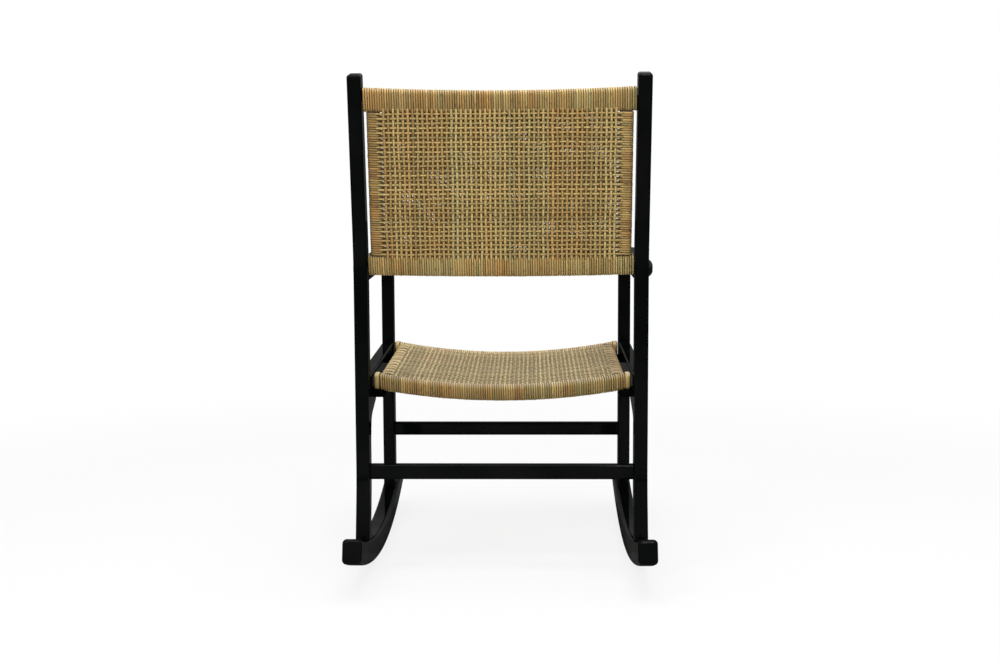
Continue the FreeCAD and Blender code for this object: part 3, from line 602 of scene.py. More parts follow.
class CaneLooks:
    """Chance looks of neighbouring strands, of which several come from one length of cane."""

    FEWEST = 3
    MOST = 11
    LENGTH_HUE = 0.08
    LENGTH_TONE = 0.06
    STRAND_HUE = 0.08
    STRAND_TONE = 0.23

    def __init__(self, chance: np.random.Generator, lightness: float, hue: float) -> None:
        """Starts with no length of cane at hand.

        Args:
            chance: The panel's chance.
            lightness: How light the strands are on average.
            hue: Their hue on average.
        """
        self.chance = chance
        self.lightness = lightness
        self.hue = hue
        self._left = 0
        self._hue = hue
        self._tone = lightness

    def next(self) -> Look:
        """Draws the look of the next strand.

        Returns:
            The look.
        """
        if self._left == 0:
            self._left = int(self.chance.integers(self.FEWEST, self.MOST + 1))
            self._hue = self.chance.normal(self.hue, self.LENGTH_HUE)
            self._tone = self.chance.normal(self.lightness, self.LENGTH_TONE)
        self._left -= 1
        hue = float(np.clip(self._hue + self.chance.normal(0.0, self.STRAND_HUE), 0.0, 1.0))
        tone = float(np.clip(self._tone + self.chance.normal(0.0, self.STRAND_TONE), 0.0, 1.0))
        return Look(tone, hue, float(self.chance.random()))


@dataclass
class Strand:
    """One strand: its middle line, which way is out, and its size and looks."""

    line: np.ndarray
    out: np.ndarray
    width: float
    thickness: float
    look: Look


class CaneBundle:
    """Many strands that make one piece."""

    MARKS = ("along", "across", "upward", "tone", "hue", "batch")
    BATCH_LENGTH = 3.0

    def __init__(self, name: str, stock: StrandStock) -> None:
        """Starts an empty bundle.

        Args:
            name: The name of the piece to come.
            stock: The strips that its strands are bent from.
        """
        self.name = name
        self.stock = stock
        self._points: list[np.ndarray] = []
        self._corners: list[np.ndarray] = []
        self._counts: list[np.ndarray] = []
        self._marks: dict[str, list[np.ndarray]] = {name: [] for name in self.MARKS}
        self._total = 0

    def lay(self, strand: Strand) -> None:
        """Bends a strip of stock along a strand's line and adds it.

        Args:
            strand: The strand to add.
        """
        points, corners, counts = self.stock.strip(len(strand.line) - 1)
        station = points[:, 0].astype(np.int64)
        ahead = np.gradient(strand.line, axis=0)
        ahead /= np.linalg.norm(ahead, axis=1, keepdims=True)
        out = strand.out - ahead * np.sum(strand.out * ahead, axis=1, keepdims=True)
        out /= np.linalg.norm(out, axis=1, keepdims=True)
        side = np.cross(out, ahead)
        across = points[:, 1:2] * strand.width
        up = points[:, 2:3] * strand.thickness
        self._points.append(strand.line[station] + side[station] * across + out[station] * up)
        self._corners.append(corners + self._total)
        self._counts.append(counts)
        gone = np.linalg.norm(np.diff(strand.line, axis=0), axis=1)
        along = np.concatenate(([0.0], np.cumsum(gone)))
        self._marks["along"].append(along[station] + strand.look.batch * self.BATCH_LENGTH)
        self._marks["across"].append(points[:, 1])
        # How far each face turns up, from which the cane material paints light on upper faces
        self._marks["upward"].append(out[station, 2])
        for name in ("tone", "hue", "batch"):
            self._marks[name].append(np.full(len(points), getattr(strand.look, name)))
        self._total += len(points)

    def tie(self, material: bpy.types.Material, stands_for: str) -> None:
        """Makes the bundle one piece that stands for a node.

        Args:
            material: The finish of all strands.
            stands_for: The node that the piece replaces.
        """
        mesh = bpy.data.meshes.new(self.name)
        points = np.concatenate(self._points)
        corners = np.concatenate(self._corners)
        counts = np.concatenate(self._counts)
        mesh.vertices.add(len(points))
        mesh.vertices.foreach_set("co", points.ravel())
        mesh.loops.add(len(corners))
        mesh.loops.foreach_set("vertex_index", corners)
        mesh.polygons.add(len(counts))
        mesh.polygons.foreach_set("loop_start", np.concatenate(([0], np.cumsum(counts)[:-1])))
        mesh.update(calc_edges=True)
        mesh.validate()
        for name, numbers in self._marks.items():
            mark = mesh.attributes.new(name, "FLOAT", "POINT")
            mark.data.foreach_set("value", np.concatenate(numbers))
        mesh.polygons.foreach_set("use_smooth", np.ones(len(counts), dtype=bool))
        mesh.materials.append(material)
        piece = bpy.data.objects.new(self.name, mesh)
        bpy.context.scene.collection.objects.link(piece)
        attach(piece, BODY)
        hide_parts(stands_for)
        log.info("%s: %d strands, %d faces", self.name, len(self._counts), len(counts))


# Panels


@dataclass(frozen=True)
class Face:
    """A face of a bar or of a layer, level or dipping between the panel's sides."""

    level: float
    dip: float = 0.0
    half: float = 1.0

    def radius(self) -> float:
        """Returns the radius of the dip's arc."""
        return (self.half**2 + self.dip**2) / (2.0 * self.dip)

    def at(self, sideways: np.ndarray) -> np.ndarray:
        """Finds the face's level.

        Args:
            sideways: Places, measured from the panel's middle.

        Returns:
            The level at each place.
        """
        if self.dip == 0.0:
            return np.full_like(sideways, self.level)
        radius = self.radius()
        return self.level - self.dip + radius - np.sqrt(radius**2 - sideways**2)

    def slope(self, sideways: np.ndarray) -> np.ndarray:
        """Finds how steeply the face rises.

        Args:
            sideways: Places, measured from the panel's middle.

        Returns:
            The slope at each place.
        """
        if self.dip == 0.0:
            return np.zeros_like(sideways)
        return sideways / np.sqrt(self.radius() ** 2 - sideways**2)


@dataclass(frozen=True)
class Bar:
    """A bar of a panel that cane is wound around.

    Start and end lie along it, near and far are its faces across the panel, and under and over
    those through it. Bound turns at each end give way to one wide strand.
    """

    name: str
    node: str
    run: Run
    start: float
    end: float
    near: Face
    far: Face
    under: Face
    over: Face
    bound_turns: int = 0
    turns_in_rib: int = 0
    tone: float = 0.5
    hue: float = 0.5


@dataclass(frozen=True)
class Layer:
    """One of the two layers of open weave, which stands for a node.

    Shift and spread move its strands against the windings, drift is how much they wander, and
    contrast is how much lighter the lengthwise strands are than the tone, and the others darker.
    """

    node: str
    face: Face
    facing: float
    shift: tuple[float, float] = (0.0, 0.0)
    spread: float = 0.0
    drift: float = 1.0
    tone: float = 0.70
    contrast: float = 0.06
    lengthwise_hue: float = 0.50
    sideways_hue: float = 0.44


@dataclass(frozen=True)
class CaneCut:
    """How wide and thick the strands are and how far apart they lie.

    Swell is the chance spread of a strand's width, lift that of its height, and drift and jitter
    move it aside. A woven strand lies flat under the windings for the tucked share of their
    corners, and then settles into the weave. Woven strands keep the gaps from the bars.
    """

    pitch: float = 0.00427
    bar_pitch: float = 0.00421
    wound_width: float = 0.0044
    wound_thickness: float = 0.0021
    wound_swell: float = 0.05
    wound_lift: float = 0.00012
    bound_thickness: float = 0.0034
    bound_overhang: float = 0.0022
    bound_spread: float = 1.04
    rib_height: float = 0.0009
    rib_sink: float = 0.6
    rib_pinch: float = 0.36
    lengthwise_width: float = 0.0053
    sideways_width: float = 0.0041
    open_thickness: float = 0.0016
    open_swell: float = 0.06
    rise: float = 0.00085
    corner: float = 0.0078
    tucked: float = 0.7
    settling: float = 0.012
    side_gap: float = 0.0015
    end_gap: float = 0.001
    drift: float = 0.00045
    jitter: float = 0.00018


@dataclass
class Panel:
    """A panel with its own axes: sideways, lengthwise, and out of its seen face."""

    origin: tuple[float, float, float]
    lean: float
    faces_up: bool
    bars: list[Bar]
    layers: list[Layer]
    cut: CaneCut
    seed: int
    stock: StrandStock
    chance: np.random.Generator = field(init=False)

    CORNER_POINTS: ClassVar[int] = 3
    CORNERS: ClassVar[tuple[tuple[float, float], ...]] = (
        (1.0, -1.0), (1.0, 1.0), (-1.0, 1.0), (-1.0, -1.0),
    )
    RIB_CHANGE: ClassVar[int] = 2
    RIB_END: ClassVar[float] = 0.99
    # Painted shade in the grooves between ribs: how much darker the end turns of a rib are, and
    # their hue
    RIB_END_PAINTED_SHADE: ClassVar[float] = 0.45
    RIB_END_HUE: ClassVar[float] = 0.75
    BOUND_TONE: ClassVar[float] = 0.62
    BOUND_HUE: ClassVar[float] = 0.48
    WAVES: ClassVar[int] = 5
    WAVE_RATES: ClassVar[tuple[float, float]] = (25.0, 95.0)
    WAVE_WEIGHTS: ClassVar[tuple[float, float]] = (0.3, 0.7)

    def __post_init__(self) -> None:
        """Seeds the panel's chance."""
        self.chance = np.random.default_rng(self.seed)

    def place(
        self, sideways: np.ndarray, lengthwise: np.ndarray, outward: np.ndarray
    ) -> np.ndarray:
        """Turns places on the panel's axes into the row's frame.

        Args:
            sideways: Places across the panel.
            lengthwise: Places along it.
            outward: Places out of its seen face.

        Returns:
            The points in the row's frame.
        """
        deep, high = (lengthwise, outward) if self.faces_up else (-outward, lengthwise)
        turn, rise = math.cos(self.lean), math.sin(self.lean)
        back = self.origin[1] + deep * turn - high * rise
        up = self.origin[2] + deep * rise + high * turn
        return np.stack([self.origin[0] + sideways, back, up], axis=1)

    def point_out(
        self, sideways: np.ndarray, lengthwise: np.ndarray, outward: np.ndarray
    ) -> np.ndarray:
        """Returns directions of the row's frame for directions on the panel's axes."""
        nothing = np.zeros(1)
        return self.place(sideways, lengthwise, outward) - self.place(nothing, nothing, nothing)

    def wound_places(self, bar: Bar) -> np.ndarray:
        """Spaces the turns of a winding evenly.

        Args:
            bar: The bar.

        Returns:
            Where the turns lie along it.
        """
        pitch = self.cut.bar_pitch if bar.run is Run.LENGTHWISE else self.cut.pitch
        count = max(int(round((bar.end - bar.start) / pitch)), 1)
        step = (bar.end - bar.start) / count
        return bar.start + step * (np.arange(count) + 0.5)

    def turn(
        self, bar: Bar, middle: float, pitch: float, thickness: float, pinch: float = 0.0
    ) -> tuple[np.ndarray, np.ndarray]:
        """Returns the line of one turn around a bar and which way is out.

        Args:
            bar: The bar.
            middle: Where the turn crosses the middle of the seen face.
            pitch: How far a turn advances.
            thickness: The strand's thickness.
            pinch: How far the turn is drawn along the bar at the field's side.

        Returns:
            The line and the outward directions, in the row's frame.
        """
        quarter = np.linspace(0.0, math.pi / 2, self.CORNER_POINTS)
        rounds = [(number - 1) * math.pi / 2 + quarter for number in range(len(self.CORNERS))]
        angle = np.concatenate(([-math.pi / 2], *rounds, [math.pi * 1.5]))
        signs = np.repeat(self.CORNERS, self.CORNER_POINTS, axis=0)
        side_sign, out_sign = np.concatenate(([(0.0, -1.0)], signs, [(0.0, -1.0)])).T
        radius = self.cut.corner - thickness / 2
        along = middle + pitch * np.linspace(-0.5, 0.5, len(angle))
        sideways = along if bar.run is Run.SIDEWAYS else np.zeros_like(along)
        near, far = bar.near.at(sideways), bar.far.at(sideways)
        under, over = bar.under.at(sideways), bar.over.at(sideways)
        half_side = (far - near) / 2 - thickness / 2 - radius
        half_out = (over - under) / 2 - thickness / 2 - radius
        beside = (near + far) / 2 + side_sign * half_side + radius * np.cos(angle)
        if pinch:
            inner_edge, outer_edge = sorted((abs(bar.near.level), abs(bar.far.level)))
            inward = (outer_edge - np.abs(beside)) / (outer_edge - inner_edge)
            along = along + pinch * np.clip(inward, 0.0, 1.0)
        outward = (under + over) / 2 + out_sign * half_out + radius * np.sin(angle)
        nothing, flat, steep = np.zeros_like(angle), np.cos(angle), np.sin(angle)
        if bar.run is Run.SIDEWAYS:
            return self.place(along, beside, outward), self.point_out(nothing, flat, steep)
        return self.place(beside, along, outward), self.point_out(flat, nothing, steep)

    def wind(self, bar: Bar, material: bpy.types.Material) -> None:
        """Winds cane around one bar, turn beside turn.

        Args:
            bar: The bar.
            material: The cane's finish.
        """
        bundle = CaneBundle(bar.name, self.stock)
        places = self.wound_places(bar)
        looks = CaneLooks(self.chance, bar.tone, bar.hue)
        thickness = self.cut.wound_thickness
        in_rib, rib_sizes = self.ribs(len(places), bar.turns_in_rib)
        for number, middle in enumerate(places):
            look = looks.next()
            if min(number, len(places) - 1 - number) < bar.bound_turns:
                continue
            swell = 1.0 + self.chance.normal(0.0, self.cut.wound_swell)
            lift = self.chance.normal(0.0, self.cut.wound_lift)
            pinch = -in_rib[number] * rib_sizes[number] / 2 * self.cut.pitch * self.cut.rib_pinch
            if bar.turns_in_rib:
                bulge = math.cos(in_rib[number] * math.pi / 2) - self.cut.rib_sink
                lift += self.cut.rib_height * bulge
                # Painted shade: the end turns of a rib, down in the groove, get a darker tone and a
                # browner hue
                if abs(in_rib[number]) > self.RIB_END:
                    look = look.tinted_or_shaded(look.tone * self.RIB_END_PAINTED_SHADE, self.RIB_END_HUE)
            line, out = self.turn(bar, middle, self.cut.pitch, thickness, pinch)
            line = line + out * lift
            bundle.lay(Strand(line, out, self.cut.wound_width * swell, thickness, look))
        for side in (1, -1):
            if bar.bound_turns:
                self.bind_end(bar, side, bundle, looks.next())
        bundle.tie(material, bar.node)

    def ribs(self, count: int, turns: int) -> tuple[np.ndarray, np.ndarray]:
        """Divides the turns of a winding into ribs.

        Args:
            count: How many turns there are.
            turns: How many turns a rib has on average, or 0 for a level winding.

        Returns:
            Each turn's place in its rib, from -1 to 1, and its rib's number of turns.
        """
        if not turns:
            return np.zeros(count), np.ones(count)
        places: list[float] = []
        sizes: list[int] = []
        while len(places) < count:
            size = turns + int(self.chance.integers(-self.RIB_CHANGE, self.RIB_CHANGE + 1))
            places.extend(np.linspace(-1.0, 1.0, size))
            sizes.extend([size] * size)
        return np.array(places[:count]), np.array(sizes[:count])

    def bind_end(self, bar: Bar, side: int, bundle: CaneBundle, look: Look) -> None:
        """Lays the wide pale strand that binds one end of a bar.

        Args:
            bar: The bar.
            side: 1 for its end and -1 for its start.
            bundle: The winding that the strand belongs to.
            look: The look of the cane at hand.
        """
        width = bar.bound_turns * self.cut.pitch + self.cut.bound_overhang
        outer = (bar.end if side > 0 else bar.start) + side * self.cut.bound_overhang
        line, out = self.turn(bar, outer - side * width / 2, 0.0, self.cut.bound_thickness)
        line = line + out * (self.cut.bound_thickness - self.cut.wound_thickness) / 2
        pale = look.tinted_or_shaded(self.BOUND_TONE, self.BOUND_HUE)
        width *= self.cut.bound_spread
        bundle.lay(Strand(line, out, width, self.cut.bound_thickness, pale))

    def sway(self, sideways: np.ndarray, lengthwise: np.ndarray, waves: np.ndarray) -> np.ndarray:
        """Adds up the waves of the drift.

        Args:
            sideways: Places across the panel.
            lengthwise: Places along it.
            waves: The waves.

        Returns:
            How far a strand drifts aside at each place.
        """
        total = np.zeros_like(sideways + lengthwise)
        for across, ahead, phase, weight in waves:
            total = total + weight * np.sin(across * sideways + ahead * lengthwise + phase)
        return total * self.cut.drift

    def waves(self) -> np.ndarray:
        """Draws the waves of a drift.

        Returns:
            A row for each wave, with its two rates, its phase and its weight.
        """
        pairs, singles = (self.WAVES, 2), (self.WAVES, 1)
        rates = self.chance.uniform(*self.WAVE_RATES, pairs)
        rates = rates * self.chance.choice([-1.0, 1.0], pairs)
        phases = self.chance.uniform(0.0, 2.0 * math.pi, singles)
        weights = self.chance.uniform(*self.WAVE_WEIGHTS, singles)
        return np.concatenate([rates, phases, weights], axis=1)

    def field_edges(self) -> tuple[Bar, Bar, Bar, Bar]:
        """Finds the bars around the field.

        Returns:
            The bars at its near, far, left and right edge.
        """
        rails = [bar for bar in self.bars if bar.run is Run.SIDEWAYS]
        sides = [bar for bar in self.bars if bar.run is Run.LENGTHWISE]
        rails.sort(key=lambda bar: bar.near.level)
        sides.sort(key=lambda bar: bar.near.level)
        return rails[0], rails[1], sides[0], sides[1]

    def strand_places(self, layer: Layer) -> tuple[np.ndarray, np.ndarray]:
        """Returns where the field's strands leave the windings.

        Args:
            layer: The layer of weave.

        Returns:
            The places sideways of the lengthwise strands, and lengthwise of the sideways ones.
        """
        near, _, left, right = self.field_edges()
        turns = self.wound_places(near)[::2] * (1.0 + layer.spread) + layer.shift[0]
        gap = self.cut.side_gap
        turns = turns[(turns > left.far.level + gap) & (turns < right.near.level - gap)]
        rows = self.wound_places(left)[::2] * (1.0 + layer.spread) + layer.shift[1]
        gap = self.cut.end_gap
        return turns, rows[(rows > left.start + gap) & (rows < left.end - gap)]

    def weave(self, layer: Layer, material: bpy.types.Material) -> None:
        """Weaves one layer of the field, strand over and under strand.

        Its lengthwise strands and its sideways strands are two pieces.

        Args:
            layer: The layer.
            material: The cane's finish.
        """
        columns, rows = self.strand_places(layer)
        near, far, left, right = self.field_edges()
        reach = self.cut.corner
        for run in (Run.LENGTHWISE, Run.SIDEWAYS):
            waves = self.waves()
            bundle = CaneBundle(layer.node + "_" + run.value, self.stock)
            lengthwise = run is Run.LENGTHWISE
            own, others = (columns, rows) if lengthwise else (rows, columns)
            wide = self.cut.lengthwise_width if lengthwise else self.cut.sideways_width
            tone = layer.tone + (layer.contrast if lengthwise else -layer.contrast)
            hue = layer.lengthwise_hue if lengthwise else layer.sideways_hue
            looks = CaneLooks(self.chance, tone, hue)
            for number, fixed in enumerate(own):
                if lengthwise:
                    begin = float(near.far.at(np.array([fixed]))[0]) - reach
                    end = float(far.near.at(np.array([fixed]))[0]) + reach
                else:
                    begin, end = left.far.level - reach, right.near.level + reach
                line, out = self.field_line(layer, run, number, fixed, others, (begin, end), waves)
                width = wide * (1.0 + self.chance.normal(0.0, self.cut.open_swell))
                bundle.lay(Strand(line, out, width, self.cut.open_thickness, looks.next()))
            bundle.tie(material, layer.node)

    def field_line(
        self,
        layer: Layer,
        run: Run,
        number: int,
        fixed: float,
        others: np.ndarray,
        ends: tuple[float, float],
        waves: np.ndarray,
    ) -> tuple[np.ndarray, np.ndarray]:
        """Returns the line of one strand of the field.

        Args:
            layer: The layer of weave.
            run: The way that the strand runs.
            number: Its number among its neighbours.
            fixed: Where it lies across its run.
            others: Where the strands that it crosses lie.
            ends: Where it begins and ends.
            waves: The waves of the drift.

        Returns:
            The line and the outward directions, in the row's frame.
        """
        along = self.stations(others, ends)
        inside = np.minimum(along - ends[0], ends[1] - along)
        free = np.clip((inside - self.cut.corner * self.cut.tucked) / self.cut.settling, 0.0, 1.0)
        # A smooth rise from the windings to the open field
        free = free * free * (3.0 - 2.0 * free)
        other = np.full_like(along, fixed)
        upright = run is Run.LENGTHWISE
        sideways, lengthwise = (other, along) if upright else (along, other)
        drift = self.sway(sideways, lengthwise, waves) * layer.drift
        other = other + (drift + self.chance.normal(0.0, self.cut.jitter)) * free
        sideways, lengthwise = (other, along) if upright else (along, other)
        phase = np.interp(along, others, np.arange(len(others)))
        parity = (1.0 if upright else -1.0) * (-1.0) ** number
        middle = self.cut.open_thickness / 2 + self.cut.rise
        flush = self.cut.wound_thickness / 2
        depth = flush + (middle - flush) * free
        lift = parity * self.cut.rise * np.cos(math.pi * phase) * free
        level = layer.face.at(sideways) - layer.facing * (depth - lift)
        slope = layer.face.slope(sideways)
        nothing = np.zeros_like(slope)
        out = self.point_out(-slope * layer.facing, nothing, np.full_like(slope, layer.facing))
        return self.place(sideways, lengthwise, level), out

    @staticmethod
    def stations(others: np.ndarray, ends: tuple[float, float]) -> np.ndarray:
        """Places the points of a strand at its crossings and halfway between them.

        Args:
            others: Where the strands that it crosses lie.
            ends: Where it begins and ends.

        Returns:
            The places along the strand, with two more near each end.
        """
        halves = np.arange(2 * len(others) - 1) / 2
        crossing = np.interp(halves, np.arange(len(others)), others)
        before = np.linspace(ends[0], crossing[0], 4)[:-1]
        after = np.linspace(crossing[-1], ends[1], 4)[1:]
        return np.concatenate((before, crossing, after))

    def build(self, material: bpy.types.Material) -> None:
        """Winds every bar and weaves both layers.

        Args:
            material: The cane's finish.
        """
        for bar in self.bars:
            self.wind(bar, material)
        for layer in self.layers:
            self.weave(layer, material)


@dataclass(frozen=True)
class BackSizes:
    """Sizes of the flat back panel, on its own axes."""

    half: float = 0.240
    deep: float = 0.012
    foot: float = -0.034
    foot_rail: float = 0.0380
    top: float = 0.3055
    top_rail: float = 0.0428
    top_dip: float = 0.006
    rail_dip: float = 0.0025
    foot_dip: float = 0.0034
    bar_outer: float = 0.237
    bar_inner: float = 0.212
    lean: float = math.radians(10.0)
    bend_height: float = 0.590
    overhang: float = 0.0018
    far_shift: tuple[float, float] = (0.00375, -0.00112)
    far_spread: float = 0.0092
    far_drift: float = 2.4
    seed: int = 41


@dataclass(frozen=True)
class SeatSizes:
    """Sizes of the dished seat panel, on its own axes."""

    half: float = 0.238
    length: float = 0.438
    rail: float = 0.032
    height: float = 0.030
    dish: float = 0.0235
    under_dish: float = 0.0225
    bar_outer: float = 0.2315
    bar_inner: float = 0.2055
    bar_top: float = -0.0035
    bar_low: float = -0.0295
    lean: float = math.radians(2.1)
    setback: float = 0.062
    rear_height: float = 0.368
    seed: int = 97


def back_panel(sizes: BackSizes, rear_middle: float, stock: StrandStock) -> Panel:
    """Lays out the back panel.

    Args:
        sizes: The panel's sizes.
        rear_middle: Where the rear posts' middle lies, front to back.
        stock: The strips of cane.

    Returns:
        The panel, ready to build.
    """
    over, under = Face(sizes.deep), Face(-sizes.deep)
    foot_top = Face(sizes.foot + sizes.foot_rail, sizes.rail_dip, sizes.half)
    top_low = Face(sizes.top - sizes.top_rail, sizes.rail_dip, sizes.half)
    foot = Face(sizes.foot, sizes.foot_dip, sizes.half)
    top = Face(sizes.top, sizes.top_dip, sizes.half)
    bar_end = float(top_low.at(np.array([sizes.bar_inner]))[0])
    reach = sizes.half + sizes.overhang
    bars = [
        Bar("back_foot_rail_winding", "back_bottom_rail_wrap", Run.SIDEWAYS,
            -reach, reach, foot, foot_top, under, over, tone=0.48),
        Bar("back_top_rail_winding", "back_top_rail_wrap", Run.SIDEWAYS,
            -reach, reach, top_low, top, under, over, tone=0.36, hue=0.54),
        Bar("back_right_bar_winding", "back_side_bar_wrap_right", Run.LENGTHWISE,
            foot_top.level, bar_end, Face(sizes.bar_inner), Face(sizes.bar_outer), under, over,
            tone=0.60, hue=0.52),
        Bar("back_left_bar_winding", "back_side_bar_wrap_left", Run.LENGTHWISE,
            foot_top.level, bar_end, Face(-sizes.bar_outer), Face(-sizes.bar_inner), under, over,
            tone=0.26, hue=0.68),
    ]
    layers = [
        Layer("back_rear_weave", over, 1.0),
        Layer("back_front_weave", under, -1.0,
              sizes.far_shift, sizes.far_spread, sizes.far_drift),
    ]
    origin = (0.0, rear_middle, sizes.bend_height)
    return Panel(origin, sizes.lean, False, bars, layers, CaneCut(), sizes.seed, stock)


def seat_panel(sizes: SeatSizes, rear_face: float, stock: StrandStock) -> Panel:
    """Lays out the seat panel.

    Args:
        sizes: The panel's sizes.
        rear_face: Where the rear posts' rear faces lie.
        stock: The strips of cane.

    Returns:
        The panel, ready to build.
    """
    cut = CaneCut(
        open_thickness=0.0014, rise=0.0007, drift=0.00028, bar_pitch=0.00427,
        lengthwise_width=0.0046, sideways_width=0.0037,
    )
    over = Face(0.0, sizes.dish, sizes.half)
    under = Face(-sizes.height, sizes.under_dish, sizes.half)
    bar_over, bar_under = Face(sizes.bar_top), Face(sizes.bar_low)
    front = sizes.length - sizes.rail
    bars = [
        # The rear rail's low tone is partly painted shade, since the rail gets less light, and
        # partly browner cane
        Bar("seat_rear_rail_winding", "seat_rear_rail_wrap", Run.SIDEWAYS,
            -sizes.half, sizes.half, Face(0.0), Face(sizes.rail), under, over, bound_turns=2,
            tone=0.16, hue=0.54),
        Bar("seat_front_rail_winding", "seat_front_rail_wrap", Run.SIDEWAYS,
            -sizes.half, sizes.half, Face(front), Face(sizes.length), under, over, bound_turns=2),
        # The right bar's tone is much lower than the left bar's: partly painted shade on the less
        # lit side, partly browner cane
        Bar("seat_right_bar_winding", "seat_side_bar_wrap_right", Run.LENGTHWISE,
            sizes.rail, front, Face(sizes.bar_inner), Face(sizes.bar_outer), bar_under, bar_over,
            turns_in_rib=7, tone=0.0, hue=0.60),
        Bar("seat_left_bar_winding", "seat_side_bar_wrap_left", Run.LENGTHWISE,
            sizes.rail, front, Face(-sizes.bar_outer), Face(-sizes.bar_inner), bar_under, bar_over,
            turns_in_rib=7, tone=0.66, hue=0.48),
    ]
    layers = [
        Layer("seat_top_weave", over, 1.0, tone=0.38, contrast=0.0),
        Layer("seat_under_weave", under, -1.0, (cut.pitch, cut.bar_pitch)),
    ]
    origin = (0.0, rear_face + sizes.setback, sizes.rear_height)
    return Panel(origin, sizes.lean, True, bars, layers, cut, sizes.seed, stock)


# Wooden frame


class WoodenFrame:
    """The nodes of wood and steel, which keep their shape and get their finish."""

    UPRIGHT = ("rear_post", "front_post", "knee_brace")
    ALONG = ("rocker", "arm_left", "arm_right", "seat_side_rail")
    ACROSS = ("rear_stretcher", "front_stretcher")
    OUT_OF_LIGHT = ("rear_corner_block", "front_corner_block", "back_panel_dowels")

    def __init__(self, nodes: dict[str, bpy.types.Object]) -> None:
        """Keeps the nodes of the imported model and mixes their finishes.

        Args:
            nodes: The nodes, by name.
        """
        self.nodes = nodes
        lacquer = BlackLacquer()
        self.lacquers = {grain: lacquer.material(grain) for grain in Grain}
        flat = BlackLacquer(name="black_paint", roughness=0.6, gloss=0.0, gloss_spread=0.0)
        self.flat_black = flat.material(Grain.ALONG)
        self.core = BareWood("bar_wood", (0.045, 0.024, 0.012), (0.085, 0.048, 0.024)).material()
        self.dowel = BareWood("dowel_wood", (0.36, 0.23, 0.12), (0.52, 0.37, 0.22)).material()
        self.steel = ScrewSteel().material()

    def finish_of(self, name: str) -> bpy.types.Material:
        """Picks the finish of a node.

        Args:
            name: The node's name.

        Returns:
            Its material.
        """
        if name.startswith(self.UPRIGHT):
            return self.lacquers[Grain.UPRIGHT]
        if name.startswith(self.ALONG):
            return self.lacquers[Grain.ALONG]
        if name.startswith(self.ACROSS):
            return self.lacquers[Grain.ACROSS]
        if name.startswith(self.OUT_OF_LIGHT):
            return self.flat_black
        if name.endswith("_screws"):
            return self.steel
        if name.endswith("_dowels"):
            return self.dowel
        return self.core

    def dress(self) -> None:
        """Gives every node its finish."""
        for name, node in sorted(self.nodes.items()):
            material = self.finish_of(name)
            if not node.material_slots:
                node.data.materials.append(material)
            for slot in node.material_slots:
                slot.link = "OBJECT"
                slot.material = material
            log.info("%s: %s", name, material.name)


# Studio


@dataclass(frozen=True)
class Lamp:
    """A soft area lamp."""

    name: str
    place: tuple[float, float, float]
    aim: tuple[float, float, float]
    width: float
    height: float
    power: float

    def hang(self) -> None:
        """Adds the lamp to the scene."""
        data = bpy.data.lights.new(self.name, "AREA")
        data.shape = "RECTANGLE"
        data.size = self.width
        data.size_y = self.height
        data.energy = self.power
        lamp = bpy.data.objects.new(self.name, data)
        lamp.location = self.place
        way = Vector(self.aim) - Vector(self.place)
        lamp.rotation_euler = way.to_track_quat("-Z", "Y").to_euler()
        bpy.context.scene.collection.objects.link(lamp)


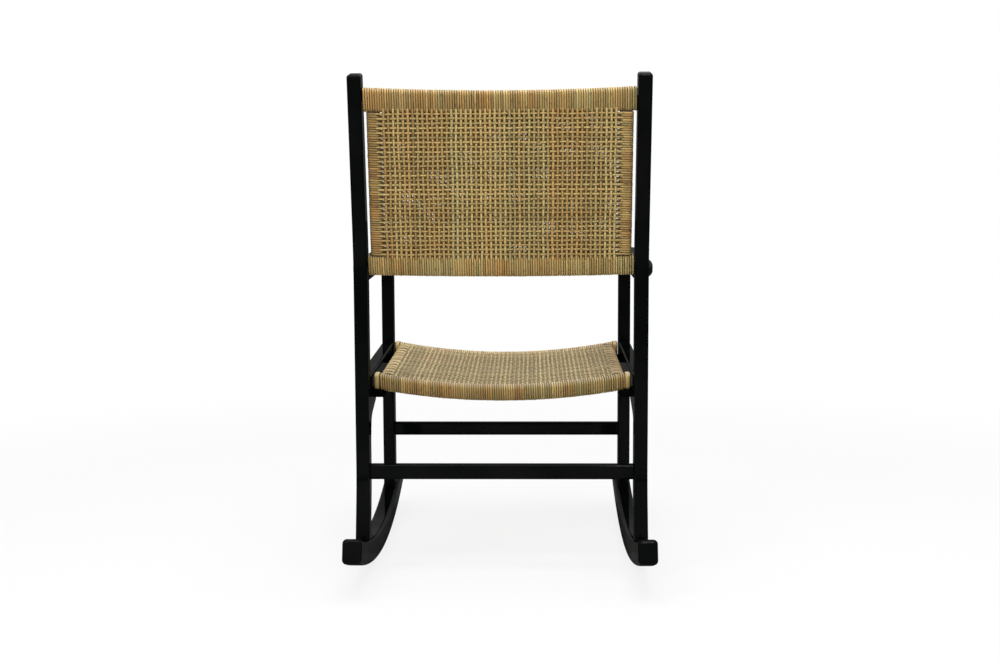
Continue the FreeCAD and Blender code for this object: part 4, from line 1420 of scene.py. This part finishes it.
@dataclass(frozen=True)
class Studio:
    """A pale floor, white surroundings, soft lamps and the photograph's camera."""

    camera_place: tuple[float, float, float] = (0.0562, -2.7303, 0.7093)
    heading: float = math.radians(1.3236)
    tilt: float = math.radians(-5.887)
    roll: float = math.radians(-0.2304)
    lens: float = 50.0
    sensor_width: float = 36.0
    floor_size: float = 60.0
    floor_colour: tuple[float, float, float] = (0.70, 0.70, 0.69)
    floor_glow: float = 0.84
    floor_glow_reach: tuple[float, float] = (0.9, 2.4)
    ambient_tint: tuple[float, float, float] = (0.95, 0.97, 1.0)
    ambient: float = 0.34
    lamps: tuple[Lamp, ...] = (
        Lamp("overhead", (0.0, -0.5, 2.9), (0.0, 0.0, 0.4), 2.4, 1.6, 76.0),
        Lamp("left_high", (-1.9, -2.4, 2.6), (0.0, -0.1, 0.8), 1.4, 1.4, 42.0),
        Lamp("key", (0.5, -2.6, 3.0), (0.0, -0.2, 0.6), 0.22, 0.22, 16.0),
        Lamp("right_strip", (2.2, -0.9, 1.5), (0.25, -0.2, 0.5), 0.10, 1.6, 10.0),
        Lamp("behind", (0.6, 2.6, 2.2), (0.0, 0.2, 0.4), 1.8, 1.2, 14.0),
    )

    def build(self) -> None:
        """Sets up the whole studio."""
        self.add_floor()
        self.add_surroundings()
        for lamp in self.lamps:
            lamp.hang()
        self.add_camera()
        bpy.context.scene.view_settings.view_transform = "Standard"

    def add_floor(self) -> None:
        """Adds the pale floor, which keeps the chair's shadow and turns white further away."""
        bpy.ops.object.select_all(action="DESELECT")
        bpy.ops.mesh.primitive_plane_add(size=self.floor_size)
        floor = bpy.context.object
        floor.name = "floor"
        material, bench = new_material("pale_floor")
        diffuse = bench.make("ShaderNodeBsdfDiffuse", None, {"Color": (*self.floor_colour, 1.0)})
        white = {"Color": (1.0, 1.0, 1.0, 1.0), "Strength": 1.0}
        glow = bench.make("ShaderNodeEmission", None, white)
        path = bench.make("ShaderNodeLightPath")
        flat = bench.place((1.0, 1.0, 0.0))
        reach = bench.make("ShaderNodeVectorMath", {"operation": "LENGTH"}, {0: flat})
        away = Value(bench, reach.outputs["Value"]).step(*self.floor_glow_reach)
        share = self.floor_glow + away * (1.0 - self.floor_glow)
        seen = Value(bench, path.outputs["Is Camera Ray"]) * share
        inputs = {0: seen, 1: diffuse.outputs[0], 2: glow.outputs[0]}
        mix = bench.make("ShaderNodeMixShader", None, inputs)
        bench.make("ShaderNodeOutputMaterial", None, {"Surface": mix.outputs[0]})
        floor.data.materials.append(material)

    def add_surroundings(self) -> None:
        """Makes the surroundings white to look at and softer as a light."""
        world = bpy.data.worlds.new("surroundings")
        world.use_nodes = True
        bench = Bench(world.node_tree)
        path = bench.make("ShaderNodeLightPath")
        seen = Value(bench, path.outputs["Is Camera Ray"])
        for kind in ("Is Glossy Ray", "Is Transmission Ray"):
            seen = seen.math("MAXIMUM", path.outputs[kind])
        soft_inputs = {"Color": (*self.ambient_tint, 1.0), "Strength": self.ambient}
        white_inputs = {"Color": (1.0, 1.0, 1.0, 1.0), "Strength": 1.0}
        soft = bench.make("ShaderNodeBackground", None, soft_inputs)
        white = bench.make("ShaderNodeBackground", None, white_inputs)
        inputs = {0: seen, 1: soft.outputs[0], 2: white.outputs[0]}
        mix = bench.make("ShaderNodeMixShader", None, inputs)
        bench.make("ShaderNodeOutputWorld", None, {"Surface": mix.outputs[0]})
        bpy.context.scene.world = world

    def add_camera(self) -> None:
        """Places the camera where the photograph was taken from."""
        data = bpy.data.cameras.new("photo_camera")
        data.lens = self.lens
        data.sensor_width = self.sensor_width
        camera = bpy.data.objects.new("photo_camera", data)
        level = Euler((math.pi / 2 + self.tilt, 0.0, self.heading)).to_matrix()
        turned = level @ Matrix.Rotation(self.roll, 3, "Z")
        camera.location = self.camera_place
        camera.rotation_euler = turned.to_euler()
        bpy.context.scene.collection.objects.link(camera)
        bpy.context.scene.camera = camera


@dataclass(frozen=True)
class ChairPlan:
    """The sizes that place the panels in the frame."""

    seat_frame_depth: float = 0.469
    post_depth: float = 0.040

    def rear_face(self) -> float:
        """Returns where the rear posts' rear faces lie, behind the front posts."""
        low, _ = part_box("front_post_right")
        return float(low[1]) - self.seat_frame_depth


def main() -> None:
    logging.basicConfig(level=logging.INFO, format="%(message)s")
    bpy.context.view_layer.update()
    plan = ChairPlan()
    rear_face = plan.rear_face()
    stock = StrandStock()
    cane = SplitCane().material()
    WoodenFrame(frame["nodes"]).dress()
    back_panel(BackSizes(), rear_face + plan.post_depth / 2, stock).build(cane)
    seat_panel(SeatSizes(), rear_face, stock).build(cane)
    Studio().build()
    bpy.context.view_layer.update()


if __name__ == "__main__":
    main()
